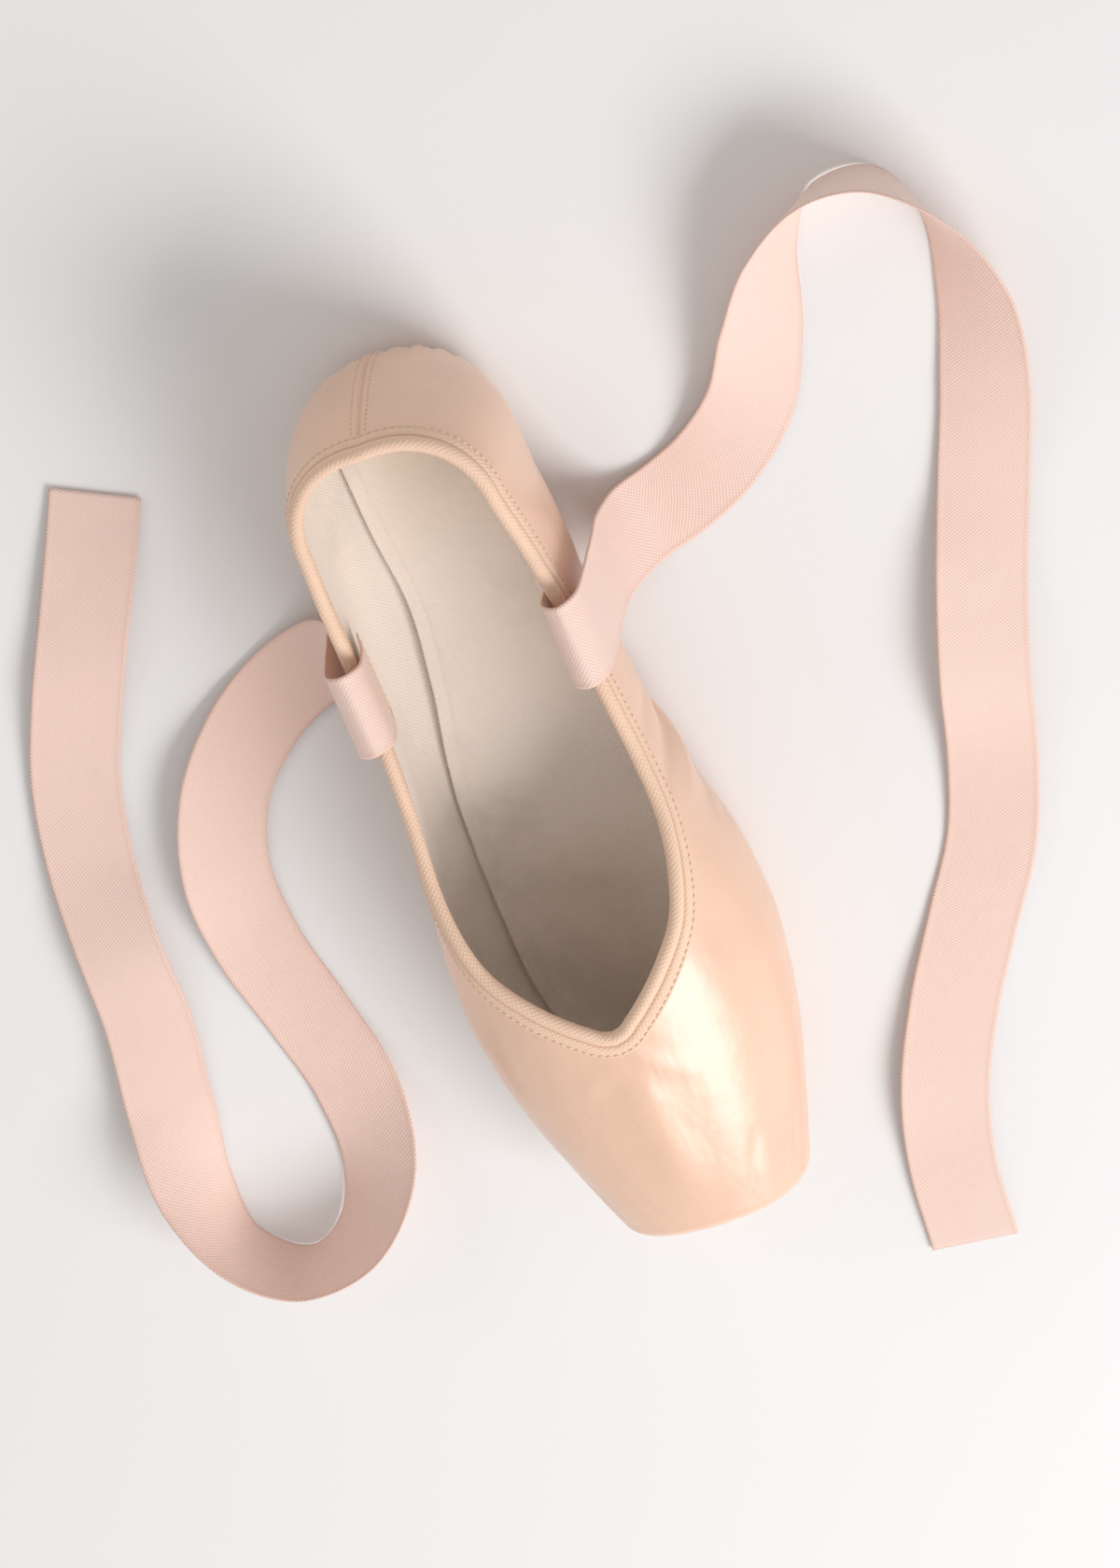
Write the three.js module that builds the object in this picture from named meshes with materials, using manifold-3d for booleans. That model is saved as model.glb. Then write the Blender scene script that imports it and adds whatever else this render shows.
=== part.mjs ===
// A satin pointe shoe, empty and unbent, standing on its sole, with its two ribbons lying loose beside it.
// Millimetres; +X points to the toe, +Y to the wearer's left, +Z up, and the floor is z = 0.
// The last's outer form is one function of two numbers: how far along the shoe, and how far up the side.
import * as THREE from "three";
import { mergeVertices } from "three/addons/utils/BufferGeometryUtils.js";
import Module from "manifold-3d";

// Driving dimensions
const LENGTH = 234; // back of the heel to the platform
const BALL_WIDTH = 80;
const INSTEP = 60; // top of the vamp where the throat begins
const HEEL_HEIGHT = 58; // collar at the back seam
const HEEL_CENTRE = 28; // the heel's ribs fan out from here
const WALL = 2; // satin, canvas and lining
const TOE_WALL = 1.5; // the hardened box is this many times thicker at the platform
const GAP = 0.3; // between pieces that touch
const SOLE_THICK = 2;
const SOLE_MARGIN = 5; // how far the upper is lasted in under the outsole
const INSOLE_THICK = 2.2;
const PLATFORM_ROUND = 3.5; // rounding of the platform's edge
const ARCH_RISE = 4;
const TOE_SPRING = 4.5; // rise of the underside at the platform
const BINDING_DEPTH = 5.5;
const BINDING_THICK = 1;
const RIBBON_WIDTH = 22;
const RIBBON_THICK = 1;

// Outsole: half widths along the shank, with superellipse ends at the heel and under the toes
const SOLE_HEEL = { centre: HEEL_CENTRE, reach: 20, half: 16.5, power: 2.8 };
const SOLE_TIP = { centre: 160, reach: 44, half: 25, power: 2.4 };
const SOLE_END = SOLE_TIP.centre + SOLE_TIP.reach;
const SHANK = [
  { at: 0.12, half: 16.5 },
  { at: 0.19, half: 16.2 },
  { at: 0.28, half: 14.8 },
  { at: 0.37, half: 16.8 },
  { at: 0.46, half: 21 },
  { at: 0.52, half: 23.4 },
  { at: 0.6, half: 24.7 },
  { at: 0.684, half: 25 },
];

// Sections of the last: place as a share of the length, half width as a share of half the ball width,
// heights of the widest line and of the crown as shares of the instep, and fullness of the shoulders
const LAST = [
  { at: 0.12, half: 0.69, widest: 0.37, crown: 1.42, full: 0 },
  { at: 0.19, half: 0.71, widest: 0.36, crown: 1.43, full: 0 },
  { at: 0.3, half: 0.73, widest: 0.34, crown: 1.42, full: 0 },
  { at: 0.43, half: 0.78, widest: 0.33, crown: 1.33, full: 0.02 },
  { at: 0.555, half: 0.9, widest: 0.33, crown: 1.17, full: 0.05 },
  { at: 0.64, half: 0.982, widest: 0.33, crown: 1.05, full: 0.08 },
  { at: 0.705, half: 1, widest: 0.34, crown: 1, full: 0.1 },
  { at: 0.77, half: 0.965, widest: 0.35, crown: 0.95, full: 0.12 },
  { at: 0.835, half: 0.885, widest: 0.37, crown: 0.892, full: 0.14 },
  { at: 0.9, half: 0.775, widest: 0.38, crown: 0.828, full: 0.16 },
  { at: 0.95, half: 0.685, widest: 0.39, crown: 0.77, full: 0.18 },
  { at: 1, half: 0.59, widest: 0.4, crown: 0.7, full: 0.2 },
];

// Edge of the opening: its height round the quarters as a share of the heel's height, and its half
// width down the throat as a share of half the ball width
const COLLAR = [
  { at: 0, high: 1 },
  { at: 0.12, high: 0.914 },
  { at: 0.21, high: 0.82 },
  { at: 0.3, high: 0.75 },
  { at: 0.43, high: 0.741 },
  { at: 0.47, high: 0.762 },
  { at: 0.505, high: 0.797 },
];
const THROAT = [
  { at: 0.547, wide: 0.718 },
  { at: 0.581, wide: 0.665 },
  { at: 0.611, wide: 0.588 },
  { at: 0.645, wide: 0.43 },
  { at: 0.675, wide: 0.26 },
  { at: 0.697, wide: 0.12 },
  { at: 0.7068, wide: 0.05 },
  { at: 0.7094, wide: 0 },
];
const THROAT_TIP = THROAT[THROAT.length - 1].at;

// Ribs: places of the upright sections, closer together at the throat's point and round the platform
const FAN_RIBS = 9;
const OPENING_TIP = (SOLE_END - SOLE_MARGIN) / LENGTH;
const RIB_PLACES = [
  0.16, 0.2, 0.24, 0.28, 0.32, 0.36, 0.4, 0.435, 0.47, 0.5, 0.525, 0.548, 0.57, 0.59, 0.609, 0.627,
  0.645, 0.662, 0.676, 0.688, 0.699, 0.7065, THROAT_TIP, 0.727, 0.75, 0.775, 0.8, 0.822, 0.837, 0.846,
  OPENING_TIP, 0.875, 0.9, 0.925, 0.948, 0.968, 0.982, 0.991, 0.9965, 1,
];
const UNDER_ROWS = 5; // rows from the tread's edge up to the widest line
const SIDE_ROWS = 12; // rows from the widest line up to the collar or the crown

// Ribbon routes, hand laid, for the left ribbon and the right one: x, y, z and the roll of the face in
// degrees. The first rows climb inside the quarter, cross the collar and drop to the floor.
const LEFT_ROUTE = [
  [70, 25.2, 30, 0],
  [70, 22.9, 42, 0],
  [70, 23.2, 49, 0],
  [70, 27, 52, 0],
  [69.5, 31, 49, 0],
  [69, 32.8, 38, 0],
  [68.5, 33.8, 26, 0],
  [67.5, 36, 12, 0],
  [66, 42, 3.6, 0],
  [63, 53, 1.2, 0],
  [57, 65, 1.6, 4],
  [45, 78, 3.6, 14],
  [28, 87, 6.6, 30],
  [10, 96, 10.4, 58],
  [-2, 109, 12, 80],
  [-1, 125, 12, 84],
  [15, 136, 11, 66],
  [36, 137, 7.4, 36],
  [60, 131, 3.6, 12],
  [84, 122, 2, 0],
  [108, 113, 5, -8],
  [130, 106, 6.6, -6],
  [152, 100, 3, 2],
  [174, 92, 1.6, 4],
  [194, 80, 1, 0],
  [214, 68, 2.2, -3],
  [235, 58, 3.6, -4],
  [257, 52, 2.2, 2],
  [281, 49.5, 0.9, 0],
];
const RIGHT_ROUTE = [
  [70, -25.2, 30, 0],
  [70, -22.9, 42, 0],
  [70, -23.2, 49, 0],
  [70, -27, 52, 0],
  [70.5, -31, 49, 0],
  [71, -32.8, 38, 0],
  [71.5, -33.8, 26, 0],
  [72.5, -36, 12, 0],
  [74, -42, 3.6, 0],
  [78, -53, 1.2, 0],
  [86, -66, 1.8, -4],
  [100, -79, 4, -14],
  [120, -87, 4.4, -16],
  [142, -88, 2, -6],
  [165, -84, 1, 0],
  [188, -80, 2.4, 6],
  [208, -82, 6.4, 28],
  [224, -93, 10.6, 60],
  [229, -109, 12, 82],
  [218, -123, 11.6, 74],
  [199, -128, 8, 42],
  [177, -126, 4, 14],
  [153, -122, 3.4, 4],
  [129, -120, 5.6, -4],
  [107, -118, 2.4, 0],
  [86, -113, 1.4, 2],
  [66, -104, 2.8, 4],
  [47, -94, 3.4, -3],
  [30, -85, 2, 0],
  [16, -78, 0.9, 0],
];
const LAID_FROM = 9; // the first row that lies on the floor
const RIBBON_STEPS = 72;

const RIGHT_ANGLE = Math.PI / 2;
const wasm = await Module();
wasm.setup();

// Reads a table's column at a place between its rows, with a cubic that doesn't overshoot.
function read(table, name, at) {
  const last = table.length - 1;
  if (at <= table[0].at) return table[0][name];
  if (at >= table[last].at) return table[last][name];
  const k = table.findIndex((row) => row.at > at) - 1;
  const rise = (i) => (table[i + 1][name] - table[i][name]) / (table[i + 1].at - table[i].at);
  const slope = (i) => {
    if (i === 0) return rise(0);
    if (i === last) return rise(last - 1);
    const product = rise(i - 1) * rise(i);
    return product <= 0 ? 0 : (2 * product) / (rise(i - 1) + rise(i));
  };
  const width = table[k + 1].at - table[k].at;
  const t = (at - table[k].at) / width;
  const [t2, t3] = [t * t, t * t * t];
  const start = (2 * t3 - 3 * t2 + 1) * table[k][name] + (t3 - 2 * t2 + t) * width * slope(k);
  const end = (3 * t2 - 2 * t3) * table[k + 1][name] + (t3 - t2) * width * slope(k + 1);
  return start + end;
}

function superRadius(angle, along, across, power) {
  const a = Math.abs(Math.cos(angle)) / along;
  const b = Math.abs(Math.sin(angle)) / across;
  return (a ** power + b ** power) ** (-1 / power);
}

// A rib's place: 0 at the back seam, HEEL_CENTRE where the fan ends, LENGTH at the platform.
const heelAngle = (place) => Math.PI - (place / HEEL_CENTRE) * RIGHT_ANGLE;

// Height of the outsole's underside: flat heel and forefoot, arched waist, slight spring under the toe.
const ARCH = { from: 60, to: 135 };
const SPRING_FROM = 188;
function soleLine(x) {
  if (x > ARCH.from && x < ARCH.to) {
    return ARCH_RISE * Math.sin((Math.PI * (x - ARCH.from)) / (ARCH.to - ARCH.from)) ** 2;
  }
  if (x <= SPRING_FROM) return 0;
  return TOE_SPRING * ((x - SPRING_FROM) / (LENGTH - SPRING_FROM)) ** 1.6;
}

// Half width of the outsole's outline, drawn in by an inset.
function soleHalf(place, inset) {
  if (place <= HEEL_CENTRE) {
    const { reach, half, power } = SOLE_HEEL;
    return superRadius(heelAngle(place), reach - inset, half - inset, power);
  }
  if (place <= SOLE_TIP.centre) return read(SHANK, "half", place / LENGTH) - inset;
  const { centre, reach, half, power } = SOLE_TIP;
  const share = (place - centre) / (reach - inset);
  return share >= 1 ? 0 : (half - inset) * (1 - share ** power) ** (1 / power);
}

// One section of the last at a place, drawn in by an inset all round.
function section(place, inset) {
  const at = Math.max(place, HEEL_CENTRE) / LENGTH;
  const row = (name) => read(LAST, name, at);
  const half = (row("half") * BALL_WIDTH) / 2;
  const over = Math.max(place - (LENGTH - PLATFORM_ROUND), 0);
  const rounding = PLATFORM_ROUND - Math.sqrt(PLATFORM_ROUND ** 2 - over ** 2);
  const fan = place < HEEL_CENTRE;
  const angle = fan ? heelAngle(place) : RIGHT_ANGLE;
  const beyond = Math.max(place - SOLE_END, 0) / (LENGTH - SOLE_END);
  const seat = Math.min(1, Math.max(0, (LENGTH - place) / 30));
  return {
    centre: fan ? HEEL_CENTRE : place - inset * TOE_WALL * beyond,
    dx: Math.cos(angle),
    dy: Math.sin(angle),
    reach: (fan ? superRadius(angle, HEEL_CENTRE, half, 2.2) : half) - inset - rounding,
    tread: Math.max(soleHalf(place, 0), 9),
    open: soleHalf(place, SOLE_MARGIN),
    bottom: soleLine(place) + (SOLE_THICK + GAP) * seat + (1 - seat) + inset + rounding,
    widest: row("widest") * INSTEP,
    crown: row("crown") * INSTEP - inset - rounding,
    full: row("full"),
  };
}

// The last's surface. Up the side: -2 is the edge of the sole opening, -1 the tread's edge, 0 the
// widest line and 1 the crown; past 1 it runs on down the other side.
function lastPoint(place, up, inset = 0) {
  const s = section(place, inset);
  let reach = s.open + (s.tread - s.open) * (up + 2);
  let z = s.bottom;
  if (up > 0) {
    const turn = up * RIGHT_ANGLE;
    reach = s.reach * Math.cos(turn) * (1 + s.full * Math.sin(turn) ** 2);
    z = s.widest + (s.crown - s.widest) * Math.sin(turn);
  } else if (up > -1) {
    const turn = (up + 1) * RIGHT_ANGLE;
    reach = s.tread + (s.reach - s.tread) * Math.sin(turn);
    z = s.widest - (s.widest - s.bottom) * Math.cos(turn);
  }
  return new THREE.Vector3(s.centre + s.dx * reach, s.dy * reach, z);
}

// The collar's edge as a share of the way up the side, from the two tables.
const RIM = [
  ...COLLAR.map(({ at, high }) => {
    const s = section(at * LENGTH, 0);
    return { at, up: Math.asin((high * HEEL_HEIGHT - s.widest) / (s.crown - s.widest)) / RIGHT_ANGLE };
  }),
  ...THROAT.map(({ at, wide }) => {
    const s = section(at * LENGTH, 0);
    return { at, up: Math.acos((wide * BALL_WIDTH) / 2 / s.reach) / RIGHT_ANGLE };
  }),
];
const rim = (place) => (place / LENGTH >= THROAT_TIP ? 1 : read(RIM, "up", place / LENGTH));

const fanPlaces = Array.from({ length: FAN_RIBS }, (_, i) => (i * HEEL_CENTRE) / (FAN_RIBS - 1));
const ribPlaces = [...fanPlaces, ...RIB_PLACES.map((at) => at * LENGTH)];

// Collects vertices, merging those that coincide, and drops faces that have no area.
class Shell {
  constructor() {
    this.points = [];
    this.faces = [];
    this.known = new Map();
  }

  vertex(point) {
    const key = point.toArray().map((n) => Math.round(n * 500)).join();
    if (!this.known.has(key)) {
      this.known.set(key, this.points.length / 3);
      this.points.push(...point.toArray());
    }
    return this.known.get(key);
  }

  face(...corners) {
    for (let i = 2; i < corners.length; i++) {
      const [a, b, c] = [corners[0], corners[i - 1], corners[i]];
      if (a !== b && b !== c && c !== a) this.faces.push(a, b, c);
    }
  }

  // A strip of faces between two rows of vertices; turned faces the other way.
  strip(low, high, turned) {
    for (let i = 1; i < low.length; i++) {
      const corners = [low[i - 1], low[i], high[i], high[i - 1]];
      this.face(...(turned ? corners.reverse() : corners));
    }
  }

  geometry() {
    const made = new THREE.BufferGeometry();
    made.setAttribute("position", new THREE.Float32BufferAttribute(this.points, 3));
    made.setIndex(this.faces);
    return made;
  }
}

const mirrored = (point, side) => new THREE.Vector3(point.x, point.y * side, point.z);

// Upper: outer and inner surface of the last, joined along the collar and along the sole opening.
function upperGeometry() {
  const shell = new Shell();
  const ups = (place) => {
    const under = Array.from({ length: UNDER_ROWS + 1 }, (_, j) => j / UNDER_ROWS - 1);
    const sides = Array.from({ length: SIDE_ROWS }, (_, j) => (rim(place) * (j + 1)) / SIDE_ROWS);
    return [-2, ...under, ...sides];
  };
  for (const side of [1, -1]) {
    const [outer, inner] = [0, WALL].map((inset) =>
      ribPlaces.map((place) =>
        ups(place).map((up) => shell.vertex(mirrored(lastPoint(place, up, inset), side))),
      ),
    );
    const left = side === 1;
    for (let i = 1; i < ribPlaces.length; i++) {
      shell.strip(outer[i - 1], outer[i], !left);
      shell.strip(inner[i - 1], inner[i], left);
      const place = ribPlaces[i];
      if (soleHalf(ribPlaces[i - 1], SOLE_MARGIN) > 0) {
        shell.strip([outer[i - 1][0], outer[i][0]], [inner[i - 1][0], inner[i][0]], !left);
      }
      if (place / LENGTH <= THROAT_TIP + 1e-9) {
        const [a, b] = [outer[i - 1].at(-1), outer[i].at(-1)];
        shell.strip([a, b], [inner[i - 1].at(-1), inner[i].at(-1)], left);
      }
    }
    for (const [ring, inset] of [[outer.at(-1), 0], [inner.at(-1), WALL]]) {
      const s = section(LENGTH, inset);
      const hub = shell.vertex(new THREE.Vector3(s.centre, 0, (s.bottom + s.crown) / 2));
      shell.strip(ring, ring.map(() => hub), left === (inset > 0));
    }
  }
  return shell.geometry();
}

// A plate that follows the outsole's outline and underside, between two heights above it.
function plateGeometry(low, high) {
  const shell = new Shell();
  const tip = SOLE_END - Math.max(low.inset, high.inset);
  const turns = Array.from({ length: 9 }, (_, i) => Math.sin(((i + 1) / 9) * RIGHT_ANGLE));
  const places = ribPlaces.filter((place) => place <= SOLE_TIP.centre);
  places.push(...turns.map((turn) => SOLE_TIP.centre + (tip - SOLE_TIP.centre) * turn));
  for (const side of [1, -1]) {
    const rows = places.map((place) => {
      const fan = place < HEEL_CENTRE;
      const centre = fan ? HEEL_CENTRE : place;
      const angle = fan ? heelAngle(place) : RIGHT_ANGLE;
      const corner = ({ inset, height }, share) => {
        const reach = place === tip ? 0 : soleHalf(place, inset) * share;
        const z = soleLine(centre) + height;
        const point = new THREE.Vector3(centre + Math.cos(angle) * reach, Math.sin(angle) * reach, z);
        return shell.vertex(mirrored(point, side));
      };
      return [corner(low, 0), corner(low, 1), corner(high, 1), corner(high, 0)];
    });
    for (let i = 1; i < rows.length; i++) shell.strip(rows[i - 1], rows[i], side === -1);
  }
  return shell.geometry();
}

function solid(geometry) {
  const merged = mergeVertices(geometry, 1e-4);
  const mesh = { numProp: 3, vertProperties: merged.attributes.position.array };
  return new wasm.Manifold(new wasm.Mesh({ ...mesh, triVerts: new Uint32Array(merged.index.array) }));
}

function fromSolid(made) {
  const { vertProperties, triVerts } = made.getMesh();
  const geometry = new THREE.BufferGeometry();
  geometry.setAttribute("position", new THREE.Float32BufferAttribute(vertProperties, 3));
  geometry.setIndex(Array.from(triVerts));
  return geometry;
}

function outsoleGeometry() {
  return plateGeometry({ inset: 0, height: 0 }, { inset: 0, height: SOLE_THICK });
}

// Insole: a sock-covered board on the lasted margin, filled out underneath within the sole opening.
function insoleGeometry() {
  const filler = SOLE_THICK + GAP;
  const seat = filler + WALL + GAP;
  const plug = { inset: SOLE_MARGIN + 2 * GAP };
  const board = plateGeometry({ inset: -0.4, height: seat }, { inset: -1.8, height: seat + INSOLE_THICK });
  const fill = plateGeometry({ ...plug, height: filler }, { ...plug, height: seat + INSOLE_THICK / 2 });
  return fromSolid(solid(board).add(solid(fill)));
}

// Partial slopes of the last's surface, by place and by share up the side.
function slopes(place, up) {
  const [dPlace, dUp] = [0.05, 0.002];
  const across = (a, b, span) => b.sub(a).divideScalar(span);
  return [
    across(lastPoint(place - dPlace, up), lastPoint(place + dPlace, up), 2 * dPlace),
    across(lastPoint(place, up - dUp), lastPoint(place, up + dUp), 2 * dUp),
  ];
}

const normalOf = ([along, climb]) => climb.clone().cross(along).normalize();

// Walks over the surface from the collar's edge, a distance along a direction.
function walk(place, up, direction, distance) {
  const steps = 5;
  for (let i = 0; i < steps; i++) {
    const [a, b] = slopes(place, up);
    const [aa, ab, bb] = [a.dot(a), a.dot(b), b.dot(b)];
    const [ad, bd] = [a.dot(direction), b.dot(direction)];
    const scale = distance / steps / (aa * bb - ab * ab);
    place += (ad * bb - bd * ab) * scale;
    up += (bd * aa - ad * ab) * scale;
  }
  return [place, up];
}

// Collar binding: tape folded over the edge, a U section carried round the opening.
function bindingGeometry() {
  const places = ribPlaces.filter((place) => place / LENGTH <= THROAT_TIP + 1e-9).reverse();
  const edge = (place) => lastPoint(place, rim(place));
  const thick = GAP + BINDING_THICK;
  const sections = places.map((place) => {
    const ahead = Math.max(place - 0.6, 0);
    const behind = Math.min(place + 0.6, THROAT_TIP * LENGTH);
    const tangent = edge(ahead).sub(edge(behind));
    if (place === places[0]) tangent.set(0, 1, 0);
    if (place === 0) tangent.set(0, -1, 0);
    const up = rim(place);
    const normal = normalOf(slopes(Math.max(place, 0.06), up));
    if (place === places[0] || place === 0) normal.y = 0;
    const down = tangent.normalize().clone().cross(normal.normalize()).normalize();
    const at = (depth, inset, lift) => {
      const [walked, height] = walk(place, up, down, Math.max(depth, 0));
      const point = lastPoint(walked, height, inset);
      if (place === places[0] || place === 0) point.y = 0;
      return point.addScaledVector(normal, lift).addScaledVector(down, Math.min(depth, 0));
    };
    return [
      at(-GAP, 0, GAP),
      at(BINDING_DEPTH, 0, GAP),
      at(BINDING_DEPTH, 0, thick),
      at(-GAP, 0, thick),
      at(-thick, 0, GAP),
      at(-thick, WALL, -GAP),
      at(-GAP, WALL, -thick),
      at(BINDING_DEPTH, WALL, -thick),
      at(BINDING_DEPTH, WALL, -GAP),
      at(-GAP, WALL, -GAP),
    ];
  });
  const far = sections.slice(1, -1).reverse().map((points) => points.map((p) => mirrored(p, -1)));
  const shell = new Shell();
  const rings = [...sections, ...far].map((points) => points.map((point) => shell.vertex(point)));
  rings.push(rings[0]);
  for (let i = 1; i < rings.length; i++) {
    shell.strip([...rings[i - 1], rings[i - 1][0]], [...rings[i], rings[i][0]], true);
  }
  return shell.geometry();
}

// Ribbon: a flat strip along its route. Over the collar its width lies along the shoe, and on the
// floor it lies flat, turned about its own line by the roll.
function ribbonGeometry(route, side) {
  const curve = new THREE.CatmullRomCurve3(route.map(([x, y, z]) => new THREE.Vector3(x, y, z)));
  const rolls = new THREE.CatmullRomCurve3(route.map((row) => new THREE.Vector3(row[3], 0, 0)));
  const landing = (LAID_FROM - 1) / (route.length - 1);
  const shell = new Shell();
  const rings = Array.from({ length: RIBBON_STEPS + 1 }, (_, i) => {
    const t = i / RIBBON_STEPS;
    const centre = curve.getPoint(t);
    const tangent = curve.getTangent(t);
    const along = new THREE.Vector3(side, 0, 0).addScaledVector(tangent, -side * tangent.x).normalize();
    const level = tangent.clone().cross(new THREE.Vector3(0, 0, 1)).normalize();
    const laid = THREE.MathUtils.smoothstep(t, landing - 0.06, landing + 0.02);
    const width = (laid > 0 ? along.lerp(level, laid) : along).normalize();
    const roll = THREE.MathUtils.degToRad(rolls.getPoint(t).x);
    width.applyAxisAngle(tangent, roll);
    const face = width.clone().cross(tangent).normalize();
    const corner = (a, b) =>
      shell.vertex(
        centre
          .clone()
          .addScaledVector(width, (a * RIBBON_WIDTH) / 2)
          .addScaledVector(face, (b * RIBBON_THICK) / 2),
      );
    return [corner(-1, -1), corner(1, -1), corner(1, 1), corner(-1, 1)];
  });
  shell.face(...rings[0]);
  for (let i = 1; i < rings.length; i++) {
    shell.strip([...rings[i - 1], rings[i - 1][0]], [...rings[i], rings[i][0]], true);
  }
  shell.face(...rings.at(-1).slice().reverse());
  return shell.geometry();
}

const shoe = new THREE.Group();
shoe.position.x = -LENGTH / 2;

function addPiece(name, geometry, color, roughness) {
  const piece = new THREE.Mesh(geometry, new THREE.MeshStandardMaterial({ color, roughness, metalness: 0 }));
  piece.name = name;
  shoe.add(piece);
}

addPiece("upper", upperGeometry(), 0xf3d2be, 0.35);
addPiece("outsole", outsoleGeometry(), 0xdeb284, 0.7);
addPiece("insole", insoleGeometry(), 0xe9ddc6, 0.85);
addPiece("collar_binding", bindingGeometry(), 0xf0c8aa, 0.75);
addPiece("ribbon_left", ribbonGeometry(LEFT_ROUTE, 1), 0xf8dad0, 0.5);
addPiece("ribbon_right", ribbonGeometry(RIGHT_ROUTE, -1), 0xf8dad0, 0.5);

export default shoe;
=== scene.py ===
"""A satin pointe shoe with two loose ribbons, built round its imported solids.

Sizes of the last, the folds and the ribbons' routes are in millimetres from the back of the heel."""

import math

import bmesh
import bpy
import numpy as np
from mathutils import Matrix, Vector


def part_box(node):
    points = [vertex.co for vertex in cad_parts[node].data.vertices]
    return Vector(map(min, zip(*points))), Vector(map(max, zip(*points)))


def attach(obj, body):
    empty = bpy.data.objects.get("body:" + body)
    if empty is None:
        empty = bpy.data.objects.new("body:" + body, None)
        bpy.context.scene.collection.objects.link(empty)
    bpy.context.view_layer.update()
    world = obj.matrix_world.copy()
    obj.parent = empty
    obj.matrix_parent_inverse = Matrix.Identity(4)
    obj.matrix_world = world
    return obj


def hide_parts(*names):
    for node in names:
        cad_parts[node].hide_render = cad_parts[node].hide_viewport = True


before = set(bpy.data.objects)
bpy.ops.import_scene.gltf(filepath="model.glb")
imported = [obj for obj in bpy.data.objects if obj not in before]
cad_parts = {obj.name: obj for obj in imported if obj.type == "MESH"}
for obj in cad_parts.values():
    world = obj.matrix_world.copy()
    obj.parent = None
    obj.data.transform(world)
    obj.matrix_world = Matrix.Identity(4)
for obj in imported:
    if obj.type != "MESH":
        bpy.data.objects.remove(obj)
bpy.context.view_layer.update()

bl_info = {
    "name": "Pointe Shoe",
    "version": (1, 0, 0),
    "blender": (4, 5, 0),
    "location": "View3D > Sidebar > Pointe Shoe",
    "description": "Builds a satin pointe shoe with its ribbons laid loose",
    "category": "Add Mesh",
}

MM = 0.001
RIGHT_ANGLE = math.pi / 2
WELD_DISTANCE = 0.01 * MM
TINY = 1e-6
SIDES = (1, -1)


def rows(columns, *values):
    """A listed table: every row holds a value for each named column."""
    return [dict(zip(columns.split(), row)) for row in values]


# Sizes of the last, as in the part's source
SHOE_LOW, SHOE_HIGH = (np.array(corner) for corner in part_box("upper"))
LENGTH = round(float(SHOE_HIGH[0] - SHOE_LOW[0]) / MM, 1)
BALL_WIDTH = 80.0
INSTEP = 60.0
HEEL_HEIGHT = 58.0
HEEL_CENTRE = 28.0
WALL = 2.0
TOE_WALL = 1.5
GAP = 0.3
SOLE_THICK = 2.0
SOLE_MARGIN = 5.0
INSOLE_THICK = 2.2
PLATFORM_ROUND = 3.5
ARCH_RISE = 4.0
ARCH = (60.0, 135.0)
SPRING_FROM = 188.0
TOE_SPRING = 4.5
SPRING_POWER = 1.6
HEEL_POWER = 2.2
LEAST_TREAD = 9
SEAT_RUN = 30

SOLE_HEEL = {"reach": 20.0, "half": 16.5, "power": 2.8}
SOLE_TIP = {"centre": 160.0, "reach": 44.0, "half": 25.0, "power": 2.4}
SOLE_END = SOLE_TIP["centre"] + SOLE_TIP["reach"]

SHANK = rows(
    "at half",
    (0.12, 16.5), (0.19, 16.2), (0.28, 14.8), (0.37, 16.8), (0.46, 21.0), (0.52, 23.4), (0.6, 24.7),
    (0.684, 25.0),
)

LAST = rows(
    "at half widest crown full",
    (0.12, 0.69, 0.37, 1.42, 0.0), (0.19, 0.71, 0.36, 1.43, 0.0), (0.3, 0.73, 0.34, 1.42, 0.0),
    (0.43, 0.78, 0.33, 1.33, 0.02), (0.555, 0.9, 0.33, 1.17, 0.05), (0.64, 0.982, 0.33, 1.05, 0.08),
    (0.705, 1.0, 0.34, 1.0, 0.1), (0.77, 0.965, 0.35, 0.95, 0.12), (0.835, 0.885, 0.37, 0.892, 0.14),
    (0.9, 0.775, 0.38, 0.828, 0.16), (0.95, 0.685, 0.39, 0.77, 0.18), (1.0, 0.59, 0.4, 0.7, 0.2),
)

COLLAR = rows(
    "at high",
    (0.0, 1.0), (0.12, 0.914), (0.21, 0.82), (0.3, 0.75), (0.43, 0.741), (0.47, 0.762), (0.505, 0.797),
)
THROAT = rows(
    "at wide",
    (0.547, 0.718), (0.581, 0.665), (0.611, 0.588), (0.645, 0.43), (0.675, 0.26), (0.697, 0.12), (0.7068, 0.05),
    (0.7094, 0.0),
)
THROAT_TIP = THROAT[-1]["at"] * LENGTH

# Side seam: its place along the shoe at the sole and at the collar
SEAM_AT_SOLE = 84.0
SEAM_AT_COLLAR = 73.0
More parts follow.
